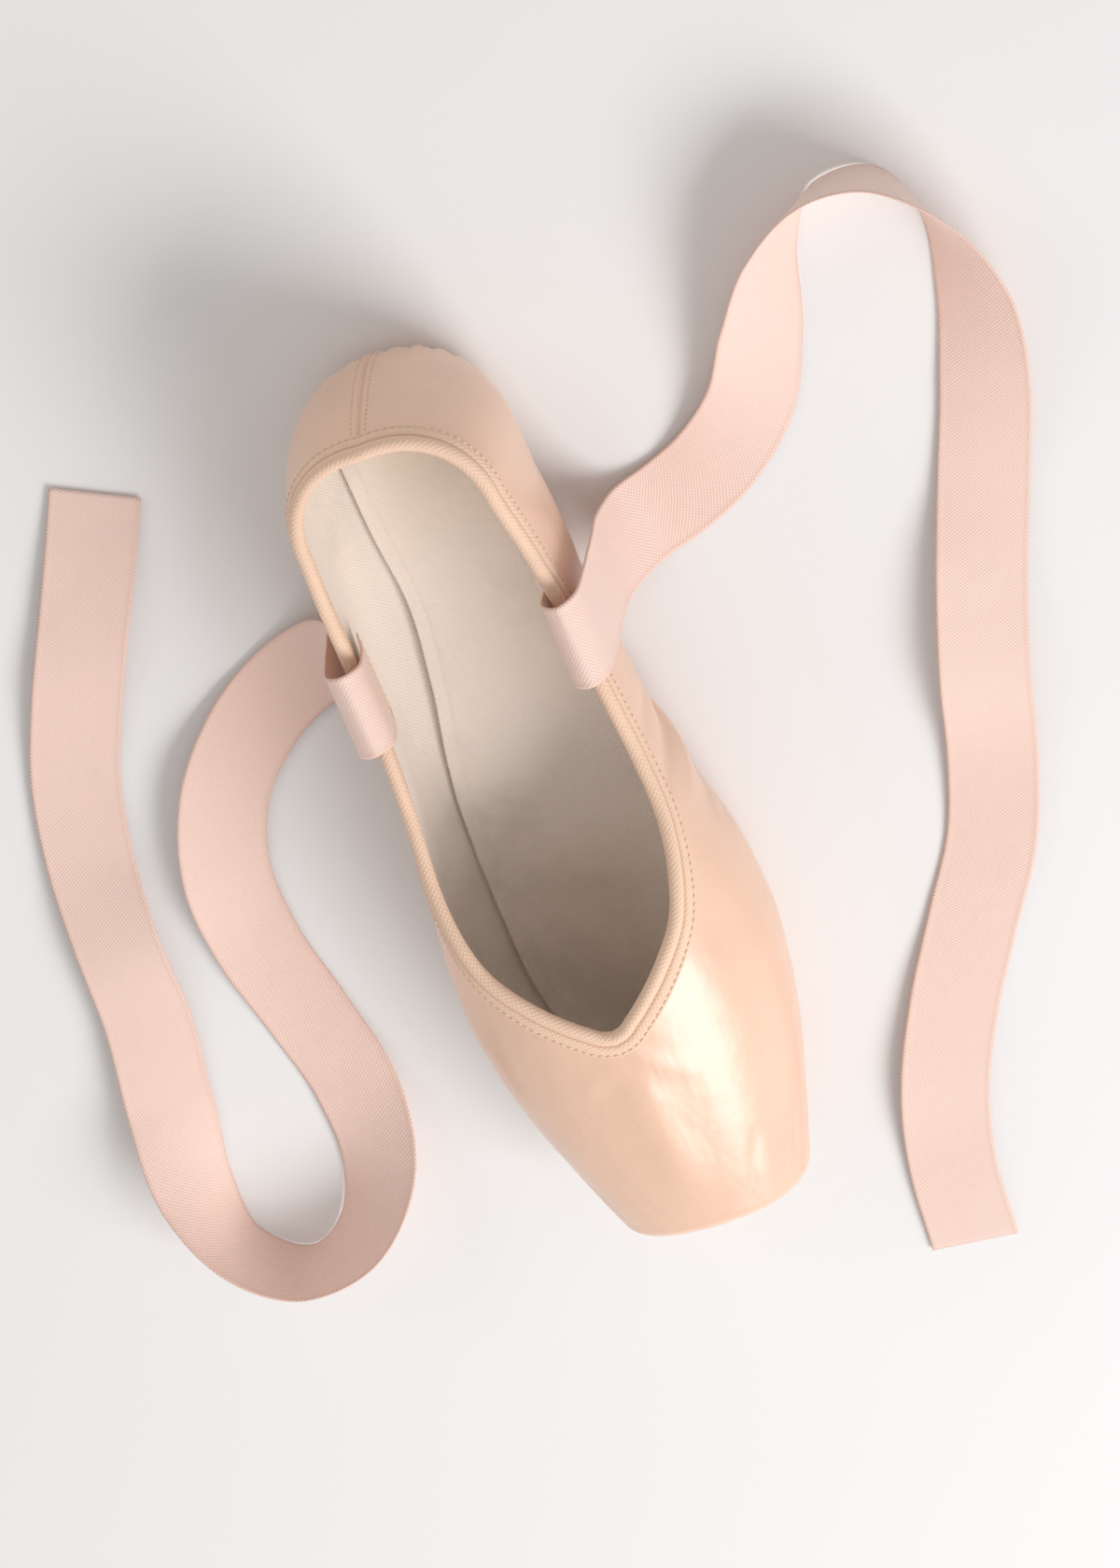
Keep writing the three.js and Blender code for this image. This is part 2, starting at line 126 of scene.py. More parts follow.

# Ribbon routes: x, y, z and the roll of the face in degrees
LEFT_ROUTE = [
    (70, 25.2, 30, 0), (70, 22.9, 42, 0), (70, 23.2, 49, 0), (70, 27, 52, 0), (69.5, 31, 49, 0),
    (69, 32.8, 38, 0), (68.5, 33.8, 26, 0), (67.5, 36, 12, 0), (66, 42, 3.6, 0), (63, 53, 1.2, 0),
    (57, 65, 1.6, 4), (45, 78, 3.6, 14), (28, 87, 6.6, 30), (10, 96, 10.4, 58), (-2, 109, 12, 80),
    (-1, 125, 12, 84), (15, 136, 11, 66), (36, 137, 7.4, 36), (60, 131, 3.6, 12), (84, 122, 2, 0),
    (108, 113, 5, -8), (130, 106, 6.6, -6), (152, 100, 3, 2), (174, 92, 1.6, 4), (194, 80, 1, 0),
    (214, 68, 2.2, -3), (235, 58, 3.6, -4), (257, 52, 2.2, 2), (281, 49.5, 0.9, 0),
]
RIGHT_ROUTE = [
    (70, -25.2, 30, 0), (70, -22.9, 42, 0), (70, -23.2, 49, 0), (70, -27, 52, 0), (70.5, -31, 49, 0),
    (71, -32.8, 38, 0), (71.5, -33.8, 26, 0), (72.5, -36, 12, 0), (74, -42, 3.6, 0), (78, -53, 1.2, 0),
    (86, -66, 1.8, -4), (100, -79, 4, -14), (120, -87, 4.4, -16), (142, -88, 2, -6), (165, -84, 1, 0),
    (188, -80, 2.4, 6), (208, -82, 6.4, 28), (224, -93, 10.6, 60), (229, -109, 12, 82),
    (218, -123, 11.6, 74), (199, -128, 8, 42), (177, -126, 4, 14), (153, -122, 3.4, 4),
    (129, -120, 5.6, -4), (107, -118, 2.4, 0), (86, -113, 1.4, 2), (66, -104, 2.8, 4), (47, -94, 3.4, -3),
    (30, -85, 2, 0), (16, -78, 0.9, 0),
]
ROUTES = ((LEFT_ROUTE, 1), (RIGHT_ROUTE, -1))
# Row from which a ribbon lies on the floor, and how far it sinks where it stands on its edge
LAID_FROM = 9
EDGE_SETTLE = 0.65

# Pleats of the satin round the outsole's tip, by their direction from PLEAT_CENTRE
PLEAT_CENTRE = 172.0
TOE_PLEATS = rows(
    "turn width height",
    (-108, 7, 0.45), (-94, 6, 0.6), (-81, 7, 0.7), (-67, 6, 0.8), (-55, 5, 0.9), (-44, 5, 1.0), (-34, 4.5, 1.0),
    (-25, 4, 0.9), (-16.5, 4, 1.1), (-7, 4.8, 1.8), (2, 3.6, 1.0), (9.5, 3.6, 0.9), (18, 4.8, 1.7),
    (27, 4, 0.9), (36, 4.6, 1.0), (47, 5, 0.9), (58, 5.4, 0.9), (70, 6, 0.7), (83, 6.4, 0.6), (97, 7, 0.5),
    (111, 7, 0.4),
)
HEEL_GATHERS = rows(
    "turn width height",
    (96, 7, 0.35), (109, 6, 0.45), (121, 6, 0.55), (133, 5, 0.6), (144, 5.5, 0.5), (156, 5, 0.6),
    (168, 5.5, 0.6), (181, 5, 0.5), (193, 5.5, 0.65), (206, 5, 0.55), (218, 5.5, 0.5), (230, 6, 0.55),
    (243, 6, 0.45), (256, 7, 0.35),
)

# Ridge that the fingers feel down the middle of the vamp
VAMP_RIDGE = 1.3

# Soft troughs and ridges of the satin: from and to are a place along the shoe and a share up the side
# (-1 sole, 0 widest line, 1 crown); side is 1 left, -1 right; width and height are in millimetres
CREASES = rows(
    "side from to width height",
    (1, (88, -0.8), (118, 0.3), 3.6, -1.3), (1, (92, -0.8), (126, 0.2), 2.8, 0.9),
    (1, (97, -0.85), (133, 0.1), 3.2, -1.3), (1, (104, -0.85), (141, 0.0), 3.0, -1.0),
    (1, (86, -0.5), (104, 0.22), 2.4, -0.5), (-1, (89, -0.8), (115, 0.3), 3.4, -1.2),
    (-1, (95, -0.85), (129, 0.2), 3.2, -1.3), (-1, (99, -0.85), (136, 0.06), 2.6, 0.8),
    (-1, (106, -0.85), (143, -0.05), 3.0, -1.0), (-1, (84, -0.4), (101, 0.2), 2.4, -0.5),
    (1, (58, -0.7), (70, 0.2), 4.0, -0.5), (-1, (56, -0.7), (69, 0.2), 4.0, -0.5),
    (1, (30, -0.6), (46, 0.2), 4.0, -0.35), (-1, (26, -0.5), (44, 0.24), 4.0, -0.35),
    (1, (164, -0.3), (196, 0.1), 5.0, -0.35), (-1, (160, -0.3), (190, 0.12), 5.0, -0.3),
    (1, (206, 0.62), (230, 0.78), 1.8, -0.3), (1, (210, 0.3), (231, 0.42), 1.8, -0.35),
    (1, (204, 0.05), (231, 0.12), 2.0, -0.4), (-1, (212, 0.7), (231, 0.82), 1.7, -0.25),
    (-1, (206, 0.36), (230, 0.5), 1.8, -0.35), (-1, (205, 0.02), (231, 0.1), 2.0, -0.4),
    (1, (170, 0.97), (186, 0.76), 3.0, 0.3), (-1, (170, 0.98), (184, 0.74), 3.0, 0.25),
)


# ---------------------------------------------------------------- the last


def read(table, name, at):
    """Reads a table's column at places between its rows, with a cubic that doesn't overshoot."""
    xs = np.array([row["at"] for row in table])
    ys = np.array([row[name] for row in table])
    rise = np.diff(ys) / np.diff(xs)
    product = rise[:-1] * rise[1:]
    total = rise[:-1] + rise[1:]
    inner = np.where(product > 0, 2 * product / np.where(total == 0, 1, total), 0)
    slope = np.concatenate([rise[:1], inner, rise[-1:]])
    at = np.clip(at, xs[0], xs[-1])
    k = np.clip(np.searchsorted(xs, at, side="right") - 1, 0, len(xs) - 2)
    width = xs[k + 1] - xs[k]
    t = (at - xs[k]) / width
    start = (2 * t**3 - 3 * t**2 + 1) * ys[k] + (t**3 - 2 * t**2 + t) * width * slope[k]
    end = (3 * t**2 - 2 * t**3) * ys[k + 1] + (t**3 - t**2) * width * slope[k + 1]
    return start + end


def super_radius(angle, along, across, power):
    """Reach of a rounded rectangle or an oval in a direction."""
    a = np.abs(np.cos(angle)) / along
    b = np.abs(np.sin(angle)) / across
    return (a**power + b**power) ** (-1 / power)


def heel_angle(place):
    """Direction of the section at a place: the sections fan round behind the heel's centre."""
    return math.pi - np.clip(place / HEEL_CENTRE, 0, 1) * RIGHT_ANGLE


def sole_line(x):
    """Height of the outsole's underside: flat heel and forefoot, arched waist, slight toe spring."""
    x = np.asarray(x, float)
    share = np.clip((x - ARCH[0]) / (ARCH[1] - ARCH[0]), 0, 1)
    spring = np.clip((x - SPRING_FROM) / (LENGTH - SPRING_FROM), 0, None)
    return ARCH_RISE * np.sin(math.pi * share) ** 2 + TOE_SPRING * spring**SPRING_POWER


def sole_half(place, inset):
    """Half width of the outsole's outline, drawn in by an inset."""
    place = np.asarray(place, float)
    heel = SOLE_HEEL
    back = super_radius(heel_angle(place), heel["reach"] - inset, heel["half"] - inset, heel["power"])
    middle = read(SHANK, "half", place / LENGTH) - inset
    share = np.clip((place - SOLE_TIP["centre"]) / (SOLE_TIP["reach"] - inset), 0, 1)
    power = SOLE_TIP["power"]
    front = (SOLE_TIP["half"] - inset) * (1 - share**power) ** (1 / power)
    return np.where(place <= HEEL_CENTRE, back, np.where(place <= SOLE_TIP["centre"], middle, front))


def section(place, inset):
    """One section of the last at each place, drawn in by an inset all round."""
    place = np.asarray(place, float)
    at = np.maximum(place, HEEL_CENTRE) / LENGTH
    half = read(LAST, "half", at) * BALL_WIDTH / 2
    over = np.clip(place - (LENGTH - PLATFORM_ROUND), 0, PLATFORM_ROUND)
    rounding = PLATFORM_ROUND - np.sqrt(PLATFORM_ROUND**2 - over**2)
    fan = place < HEEL_CENTRE
    angle = np.where(fan, heel_angle(place), RIGHT_ANGLE)
    beyond = np.clip(place - SOLE_END, 0, LENGTH - SOLE_END) / (LENGTH - SOLE_END)
    seat = np.clip((LENGTH - place) / SEAT_RUN, 0, 1)
    reach = np.where(fan, super_radius(angle, HEEL_CENTRE, half, HEEL_POWER), half)
    return {
        "centre": np.where(fan, HEEL_CENTRE, np.minimum(place, LENGTH) - inset * TOE_WALL * beyond),
        "dx": np.cos(angle),
        "dy": np.sin(angle),
        "reach": reach - inset - rounding,
        "tread": np.maximum(sole_half(place, 0), LEAST_TREAD),
        "open": sole_half(place, SOLE_MARGIN),
        "bottom": sole_line(np.minimum(place, LENGTH))
        + (SOLE_THICK + GAP) * seat + (1 - seat) + inset + rounding,
        "widest": read(LAST, "widest", at) * INSTEP,
        "crown": read(LAST, "crown", at) * INSTEP - inset - rounding,
        "full": read(LAST, "full", at),
    }


def last_point(place, up, inset=0.0):
    """Points of the last's surface. Up the side, -2 is the sole opening, -1 the tread's edge, 0 the
    widest line and 1 the crown. Past the shoe's length the section closes in over the platform."""
    place, up = np.broadcast_arrays(np.asarray(place, float), np.asarray(up, float))
    s = section(place, inset)
    turn = np.maximum(up, 0) * RIGHT_ANGLE
    side_reach = s["reach"] * np.cos(turn) * (1 + s["full"] * np.sin(turn) ** 2)
    side_z = s["widest"] + (s["crown"] - s["widest"]) * np.sin(turn)
    low = np.clip(up + 1, 0, 1) * RIGHT_ANGLE
    low_reach = s["tread"] + (s["reach"] - s["tread"]) * np.sin(low)
    low_z = s["widest"] - (s["widest"] - s["bottom"]) * np.cos(low)
    flat_reach = s["open"] + (s["tread"] - s["open"]) * (up + 2)
    reach = np.where(up > 0, side_reach, np.where(up > -1, low_reach, flat_reach))
    z = np.where(up > 0, side_z, np.where(up > -1, low_z, s["bottom"]))
    close = 1 - np.clip(place - LENGTH, 0, 1)
    hub = (s["bottom"] + s["crown"]) / 2
    z = hub + (z - hub) * close
    return np.stack([s["centre"] + s["dx"] * reach * close, s["dy"] * reach * close, z], axis=-1)


def rim_table():
    """The collar and the throat as one edge, each row a share of the way up the side."""
    edge = []
    for row in COLLAR:
        s = section(row["at"] * LENGTH, 0.0)
        share = (row["high"] * HEEL_HEIGHT - s["widest"]) / (s["crown"] - s["widest"])
        edge.append({"at": row["at"], "up": math.asin(share) / RIGHT_ANGLE})
    for row in THROAT:
        s = section(row["at"] * LENGTH, 0.0)
        share = row["wide"] * BALL_WIDTH / 2 / s["reach"]
        edge.append({"at": row["at"], "up": math.acos(share) / RIGHT_ANGLE})
    return edge


RIM = rim_table()


def rim(place):
    """The collar's edge, as a share of the way up the side."""
    place = np.asarray(place, float)
    return np.where(place >= THROAT_TIP, 1.0, read(RIM, "up", place / LENGTH))


# Steps that slopes are measured over, and the least place that has one
STEP_ALONG, STEP_UP, LEAST_PLACE = 0.05, 0.002, 0.06


def slopes(place, up):
    """How the surface runs along the shoe and up its side."""
    place = np.maximum(place, LEAST_PLACE)
    along = last_point(place + STEP_ALONG, up) - last_point(place - STEP_ALONG, up)
    climb = last_point(place, up + STEP_UP) - last_point(place, up - STEP_UP)
    return along / (2 * STEP_ALONG), climb / (2 * STEP_UP)


def smooth_step(values, low, high):
    """Rises softly from 0 at low to 1 at high."""
    share = np.clip((values - low) / (high - low), 0, 1)
    return share * share * (3 - 2 * share)


def unit(vectors):
    return vectors / np.maximum(np.linalg.norm(vectors, axis=-1, keepdims=True), 1e-9)


def normals(place, up):
    along, climb = slopes(place, up)
    return unit(np.cross(climb, along))


def dot(a, b):
    return np.sum(a * b, axis=-1)


WALK_STEPS = 5


def walk(place, up, direction, distance):
    """Walks over the surface, a distance along a direction."""
    for _ in range(WALK_STEPS):
        a, b = slopes(place, up)
        aa, ab, bb = dot(a, a), dot(a, b), dot(b, b)
        ad, bd = dot(a, direction), dot(b, direction)
        scale = distance / WALK_STEPS / (aa * bb - ab * ab)
        place = np.maximum(place + (ad * bb - bd * ab) * scale, 0)
        up = up + (bd * aa - ad * ab) * scale
    return place, up


def in_row(points):
    """Millimetres from the back of the heel, as metres in the shared frame."""
    points = np.array(points, float)
    points[..., 0] -= LENGTH / 2
    return points * MM


# ---------------------------------------------------------------- folds in the satin


def segment_distance(points, line):
    """Distance of each point to a bent line, and the share along the line that it is nearest to."""
    best = np.full(len(points), 1e9)
    share = np.zeros(len(points))
    for i in range(len(line) - 1):
        start, step = line[i], line[i + 1] - line[i]
        t = np.clip((points - start) @ step / (step @ step), 0, 1)
        away = np.linalg.norm(points - start - t[:, None] * step, axis=1)
        near = away < best
        best = np.where(near, away, best)
        share = np.where(near, (i + t) / (len(line) - 1), share)
    return best, share


# Points of a crease's line, the bend of its rise, and how slowly it fades at its ends
CREASE_POINTS, CREASE_BEND, CREASE_FADE = 9, 1.3, 0.7


def crease_height(points):
    """Height of the listed troughs and ridges at points of the surface."""
    height = np.zeros(len(points))
    shares = np.linspace(0, 1, CREASE_POINTS)
    for crease in CREASES:
        (place, up), (last_place, last_up) = crease["from"], crease["to"]
        line = last_point(place + (last_place - place) * shares, up + (last_up - up) * shares**CREASE_BEND)
        line[:, 1] *= crease["side"]
        reach = 3 * crease["width"]
        near = np.all((points > line.min(0) - reach) & (points < line.max(0) + reach), axis=1)
        if not near.any():
            continue
        away, share = segment_distance(points[near], line)
        across = np.exp(-((away / crease["width"]) ** 2))
        height[near] += crease["height"] * across * np.sin(math.pi * share) ** CREASE_FADE
    return height


def bell(values, middle, width):
    """A smooth bump of height 1."""
    return np.exp(-(((values - middle) / width) ** 2))


def pleat_height(turn, pleats):
    """Folds lying one way: a soft ridge with a narrow fold at its foot."""
    height = np.zeros_like(turn)
    for pleat in pleats:
        u = (turn - pleat["turn"]) / pleat["width"]
        height += pleat["height"] * (bell(u, 0, 0.62) - 0.9 * bell(u, 0.85, 0.2))
    return height


# Where the pleats and gathers fade in: reach past the sole's edge, places along the shoe, shares up the side
PLEAT_REACH, PLEAT_REACH_AHEAD = 7, 22
PLEATS_UP, PLEATS_FROM, PLEATS_OVER_CAP = (-0.1, 0.2), (148, 164), (0.05, 0.4)
GATHERS_UP, GATHERS_TO = (-0.75, -0.15), (28, 46)
# The vamp's ridge: half its width, where it rises, where it sinks, and the shares up the side it starts between
RIDGE_WIDE, RIDGE_FROM, RIDGE_TO, RIDGE_UP = 6, (170, 188), (206, 231), (0.4, 0.7)
# The back seam: how far round the heel it is looked for, its groove and the ridge beside it
BACK_SEAM = {"reach": 6, "before": 40, "deep": 0.55, "wide": 0.5, "ridge": 0.25, "off": 1.3, "ridge_wide": 0.9}


def toe_pleats(points, place, up):
    """Pleats under the toe, fading away from the outsole's edge and over the platform."""
    ahead, y = points[:, 0] - PLEAT_CENTRE, points[:, 1]
    turn = np.arctan2(y, ahead)
    edge = super_radius(turn, SOLE_END - PLEAT_CENTRE, SOLE_TIP["half"], HEEL_POWER)
    outside = np.hypot(ahead, y) - edge
    span = PLEAT_REACH + PLEAT_REACH_AHEAD * np.clip(np.cos(turn), 0, 1) ** 2
    window = (1 - smooth_step(outside, span * 0.45, span)) * (1 - smooth_step(up, *PLEATS_UP))
    window *= smooth_step(points[:, 0], *PLEATS_FROM)
    window *= np.where(place > LENGTH, 1 - smooth_step(place - LENGTH, *PLEATS_OVER_CAP), 1)
    return pleat_height(np.degrees(turn), TOE_PLEATS) * window


def fold_height(points, place, up):
    """Height of all folds of the satin: toe pleats, heel gathers, creases, ridge and back seam."""
    x, y = points[:, 0], points[:, 1]
    height = crease_height(points) + toe_pleats(points, place, up)
    heel_turn = np.degrees(np.arctan2(y, x - HEEL_CENTRE)) % 360
    gather = (1 - smooth_step(up, *GATHERS_UP)) * (1 - smooth_step(x, *GATHERS_TO))
    height += pleat_height(heel_turn, HEEL_GATHERS) * gather
    ridge = bell(y, 0, RIDGE_WIDE) * smooth_step(x, *RIDGE_FROM) * (1 - smooth_step(x, *RIDGE_TO))
    height += VAMP_RIDGE * ridge * smooth_step(up, *RIDGE_UP)
    seam = BACK_SEAM
    groove = seam["deep"] * bell(y, 0, seam["wide"])
    beside = seam["ridge"] * bell(np.abs(y), seam["off"], seam["ridge_wide"])
    at_seam = (np.abs(y) < seam["reach"]) & (x < seam["before"])
    return height - np.where(at_seam, groove - beside, 0)


# Nearest that a slope is taken to the platform's middle and to the sole's opening
LAST_SLOPE, LOWEST_SLOPE = 0.97, -1.99


def satin_surface(place, up, side):
    """Points of the satin with all its folds, and its normals."""
    points = last_point(place, up)
    out = normals(np.minimum(place, LENGTH + LAST_SLOPE), np.clip(up, LOWEST_SLOPE, None))
    points[..., 1] *= side
    out[..., 1] *= side
    height = fold_height(points, place, up)
    return points + out * height[:, None], out, height


def seam_place(up, place_up):
    """Place of the side seam: it leans to the heel as it rises from the sole to the collar."""
    rise = np.clip((up + 1) / (place_up + 1), 0, 1)
    return SEAM_AT_SOLE + (SEAM_AT_COLLAR - SEAM_AT_SOLE) * rise


# ---------------------------------------------------------------- sizes and colours


def length_setting(name, description, metres):
    return bpy.props.FloatProperty(name=name, description=description, default=metres, unit="LENGTH")


def angle_setting(name, description, degrees):
    return bpy.props.FloatProperty(
        name=name, description=description, default=math.radians(degrees), subtype="ANGLE")


def colour_setting(name, description, *value):
    return bpy.props.FloatVectorProperty(
        name=name, description=description, default=value, subtype="COLOR", size=3)


class ShoeSizes(bpy.types.PropertyGroup):
    """Sizes that a user would change."""

    camera_distance: length_setting("Camera distance", "From the camera to the shoe", 1.6)
    camera_frame: length_setting("Framed height", "Height of floor that the picture holds", 0.375)
    lean_side: angle_setting("Lean to the left quarter", "Camera's lean from upright toward the shoe's left", 14)
    lean_back: angle_setting("Lean to the heel", "Camera's lean from upright toward the heel", 25)
    toe_turn: angle_setting("Toe turn", "Toe's direction in the picture, from straight down toward the right", 23.5)
    ribbon_width: length_setting("Ribbon width", "Woven width of the ribbon", 0.022)
    ribbon_thick: length_setting("Ribbon thickness", "Thickness of the ribbon's cloth", 0.00045)
    binding_depth: length_setting("Binding depth", "Width of the tape on the outside of the collar", 0.0058)
    stitch_pitch: length_setting("Stitch length", "From one machine stitch to the next", 0.0019)


class ShoeColours(bpy.types.PropertyGroup):
    """Colours that a user would change, in linear light."""

    satin: colour_setting("Satin", "Satin of the upper", 0.865, 0.565, 0.41)
    binding: colour_setting("Binding", "Tape round the collar", 0.89, 0.63, 0.47)
    ribbon: colour_setting("Ribbon", "Ankle ribbons", 0.93, 0.69, 0.605)
    leather: colour_setting("Sole leather", "Outsole", 0.72, 0.45, 0.24)
    lining: colour_setting("Lining", "Cotton lining and sock", 0.95, 0.86, 0.78)
    floor: colour_setting("Floor", "Plain floor", 0.88, 0.88, 0.885)


# ---------------------------------------------------------------- making pieces


def sheet_mesh(name, along, around, shape, flip=False, marks=()):
    """A grid of cloth: shape gives points, and any marks, from two shares. The UV map is in metres of cloth."""
    bm = bmesh.new()
    layer = bm.loops.layers.uv.new("UVMap")
    bmesh.ops.create_grid(bm, x_segments=along, y_segments=around, size=1)
    bm.verts.ensure_lookup_table()
    shares = (np.array([vert.co.xy for vert in bm.verts]) + 1) / 2
    column = np.rint(shares[:, 0] * along).astype(int)
    row = np.rint(shares[:, 1] * around).astype(int)
    s, t = np.meshgrid(np.linspace(0, 1, along + 1), np.linspace(0, 1, around + 1), indexing="ij")
    made = shape(s.ravel(), t.ravel())
    points, values = made if marks else (made, ())
    points = in_row(points).reshape(along + 1, around + 1, 3)
    steps_along = np.linalg.norm(np.diff(points, axis=0), axis=2).mean(1)
    u = np.concatenate([[0], np.cumsum(steps_along)])
    steps_up = np.linalg.norm(np.diff(points, axis=1), axis=2)
    v = np.concatenate([np.zeros((along + 1, 1)), np.cumsum(steps_up, axis=1)], axis=1)
    v -= v[:, -1:]
    for vert, i, j in zip(bm.verts, column, row):
        vert.co = points[i, j]
    for face in bm.faces:
        face.smooth = True
        for loop in face.loops:
            i, j = column[loop.vert.index], row[loop.vert.index]
            loop[layer].uv = (u[i], v[i, j])
    if flip:
        bmesh.ops.reverse_faces(bm, faces=bm.faces)
    mesh = bpy.data.meshes.new(name)
    bm.to_mesh(mesh)
    bm.free()
    for mark, marked in zip(marks, values):
        kept = mesh.attributes.new(mark, "FLOAT", "POINT")
        kept.data.foreach_set("value", marked.reshape(along + 1, around + 1)[column, row])
    return mesh


def both_sides(name, along, around, shape, marks=(), flip=False):
    """The left half of a piece and its right half, welded where they meet. shape takes the side as well."""
    bm = bmesh.new()
    for side in SIDES:
        half = sheet_mesh(name, along, around, lambda s, t: shape(s, t, side), (side == 1) != flip, marks)
        bm.from_mesh(half)
        bpy.data.meshes.remove(half)
    joined = bpy.data.meshes.new(name)
    bmesh.ops.remove_doubles(bm, verts=bm.verts, dist=WELD_DISTANCE)
    bmesh.ops.dissolve_degenerate(bm, edges=bm.edges, dist=WELD_DISTANCE / 10)
    bm.to_mesh(joined)
    bm.free()
    return joined


def add_piece(mesh, material, replaced=()):
    """Puts a finished mesh in the scene, riding on the shoe."""
    piece = bpy.data.objects.new(mesh.name, mesh)
    bpy.context.scene.collection.objects.link(piece)
    piece.data.materials.append(material)
    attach(piece, "root")
    if replaced:
        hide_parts(*replaced)
    return piece


# ---------------------------------------------------------------- shader groups


def opaque(colour):
    return (*colour, 1)


class Nodes:
    """Short form for adding nodes to a tree and joining them."""

    def __init__(self, tree):
        self.tree = tree

    def add(self, kind, inputs=None, **settings):
        node = self.tree.nodes.new("ShaderNode" + kind)
        for name, value in settings.items():
            setattr(node, name, value)
        for name, value in (inputs or {}).items():
            self.give(node.inputs[name], value)
        return node

    def give(self, socket, value):
        if isinstance(value, bpy.types.NodeSocket):
            self.tree.links.new(value, socket)
        else:
            socket.default_value = value

    def math(self, operation, first, second=0.0, third=0.0):
        node = self.add("Math", {0: first, 1: second, 2: third}, operation=operation)
        return node.outputs[0]

    def mix(self, share, first, second):
        node = self.add("Mix", data_type="RGBA")
        for name, value in (("Factor_Float", share), ("A_Color", first), ("B_Color", second)):
            socket = next(item for item in node.inputs if item.identifier == name)
            self.give(socket, opaque(value) if isinstance(value, tuple) else value)
        return next(item for item in node.outputs if item.identifier == "Result_Color")

    def span(self, value, low, high, start=0.0, end=1.0):
        inputs = {"Value": value, "From Min": low, "From Max": high, "To Min": start, "To Max": end}
        return self.add("MapRange", inputs, interpolation_type="SMOOTHSTEP").outputs["Result"]

    def group(self, tree, inputs):
        """A shared effect's outputs."""
        node = self.add("Group", node_tree=tree)
        for name, value in inputs.items():
            self.give(node.inputs[name], value)
        return node.outputs

    def mark(self, name):
        """A mark kept on the mesh."""
        return self.add("Attribute", attribute_name=name).outputs["Fac"]

    def noise(self, vector, scale, detail=2.0, rough=0.5):
        node = self.add("TexNoise", {"Vector": vector, "Scale": scale, "Detail": detail, "Roughness": rough})
        return node.outputs["Fac"]


def shader_group(name, inputs, outputs, fill):
    """A node group made once, with sockets as (name, kind, value)."""
    if name in bpy.data.node_groups:
        return bpy.data.node_groups[name]
    tree = bpy.data.node_groups.new(name, "ShaderNodeTree")
    for label, kind, value in inputs:
        socket = tree.interface.new_socket(label, in_out="INPUT", socket_type="NodeSocket" + kind)
        if value is not None:
            socket.default_value = value
    for label, kind in outputs:
        tree.interface.new_socket(label, in_out="OUTPUT", socket_type="NodeSocket" + kind)
    nodes = Nodes(tree)
    given = tree.nodes.new("NodeGroupInput").outputs
    ended = tree.nodes.new("NodeGroupOutput").inputs
    for label, value in fill(nodes, given).items():
        nodes.give(ended[label], value)
    return tree


def weave_group():
    """Woven threads: crossed bumps for a plain weave, long floats for satin."""

    def fill(nodes, given):
        parts = nodes.add("SeparateXYZ", {"Vector": given["Cloth"]})
        along = nodes.math("MULTIPLY", parts.outputs["X"], given["Threads along"])
        across = nodes.math("MULTIPLY", parts.outputs["Y"], given["Threads across"])
        wave = [nodes.math("SINE", nodes.math("MULTIPLY", share, math.pi)) for share in (along, across)]
        plain = nodes.math("MULTIPLY", *wave)
        floats = nodes.math("ABSOLUTE", wave[0])
        slub = nodes.noise(nodes.add("CombineXYZ", {"X": along, "Y": nodes.math("MULTIPLY", across, 0.04)})
                           .outputs["Vector"], 0.9, 3.0)
        satin = nodes.math("MULTIPLY", floats, nodes.math("MULTIPLY_ADD", slub, 0.4, 0.6))
        rest = nodes.math("SUBTRACT", 1.0, given["Satin"])
        height = nodes.math("ADD", nodes.math("MULTIPLY", satin, given["Satin"]),
                            nodes.math("MULTIPLY", plain, rest))
        return {"Height": height, "Slub": slub}

    return shader_group(
        "woven_threads",
        [("Cloth", "Vector", None), ("Threads along", "Float", 3000.0), ("Threads across", "Float", 3000.0),
         ("Satin", "Float", 0.0)],
        [("Height", "Float"), ("Slub", "Float")], fill)


def handled_group():
    """Slow change of colour from handling: faint soil in patches, and paler rubbed places."""

    def fill(nodes, given):
        patch = nodes.noise(given["Place"], given["Scale"], 4.0, 0.6)
        soil = nodes.math("MULTIPLY", nodes.span(patch, 0.5, 0.74), given["Amount"])
        fleck = nodes.noise(given["Place"], nodes.math("MULTIPLY", given["Scale"], 9.0), 3.0, 0.7)
        rub = nodes.math("MULTIPLY", nodes.span(fleck, 0.56, 0.7), nodes.math("MULTIPLY", given["Amount"], 0.5))
        soiled = nodes.mix(soil, given["Colour"], given["Soil"])
        return {"Colour": nodes.mix(rub, soiled, given["Rubbed"]), "Mask": soil}

    return shader_group(
        "handled",
        [("Place", "Vector", None), ("Colour", "Color", None), ("Soil", "Color", None),
         ("Rubbed", "Color", None), ("Scale", "Float", 30.0), ("Amount", "Float", 0.3)],
        [("Colour", "Color"), ("Mask", "Float")], fill)


def grain_group():
    """Leather grain: small cells with pores."""

    def fill(nodes, given):
        cells = nodes.add("TexVoronoi", {"Vector": given["Place"], "Scale": given["Scale"]},
                          feature="DISTANCE_TO_EDGE")
        crack = nodes.span(cells.outputs["Distance"], 0.0, 0.12)
        pores = nodes.noise(given["Place"], nodes.math("MULTIPLY", given["Scale"], 0.35), 5.0, 0.65)
        height = nodes.math("ADD", nodes.math("MULTIPLY", crack, 0.5), pores)
        return {"Height": height, "Pores": pores}

    return shader_group(
        "leather_grain", [("Place", "Vector", None), ("Scale", "Float", 900.0)],
        [("Height", "Float"), ("Pores", "Float")], fill)


def tinted(colour, strength):
    """A colour made darker or paler by one number, or by one for each channel."""
    return tuple(min(channel, 1.0) for channel in (np.array(colour) * strength).tolist())


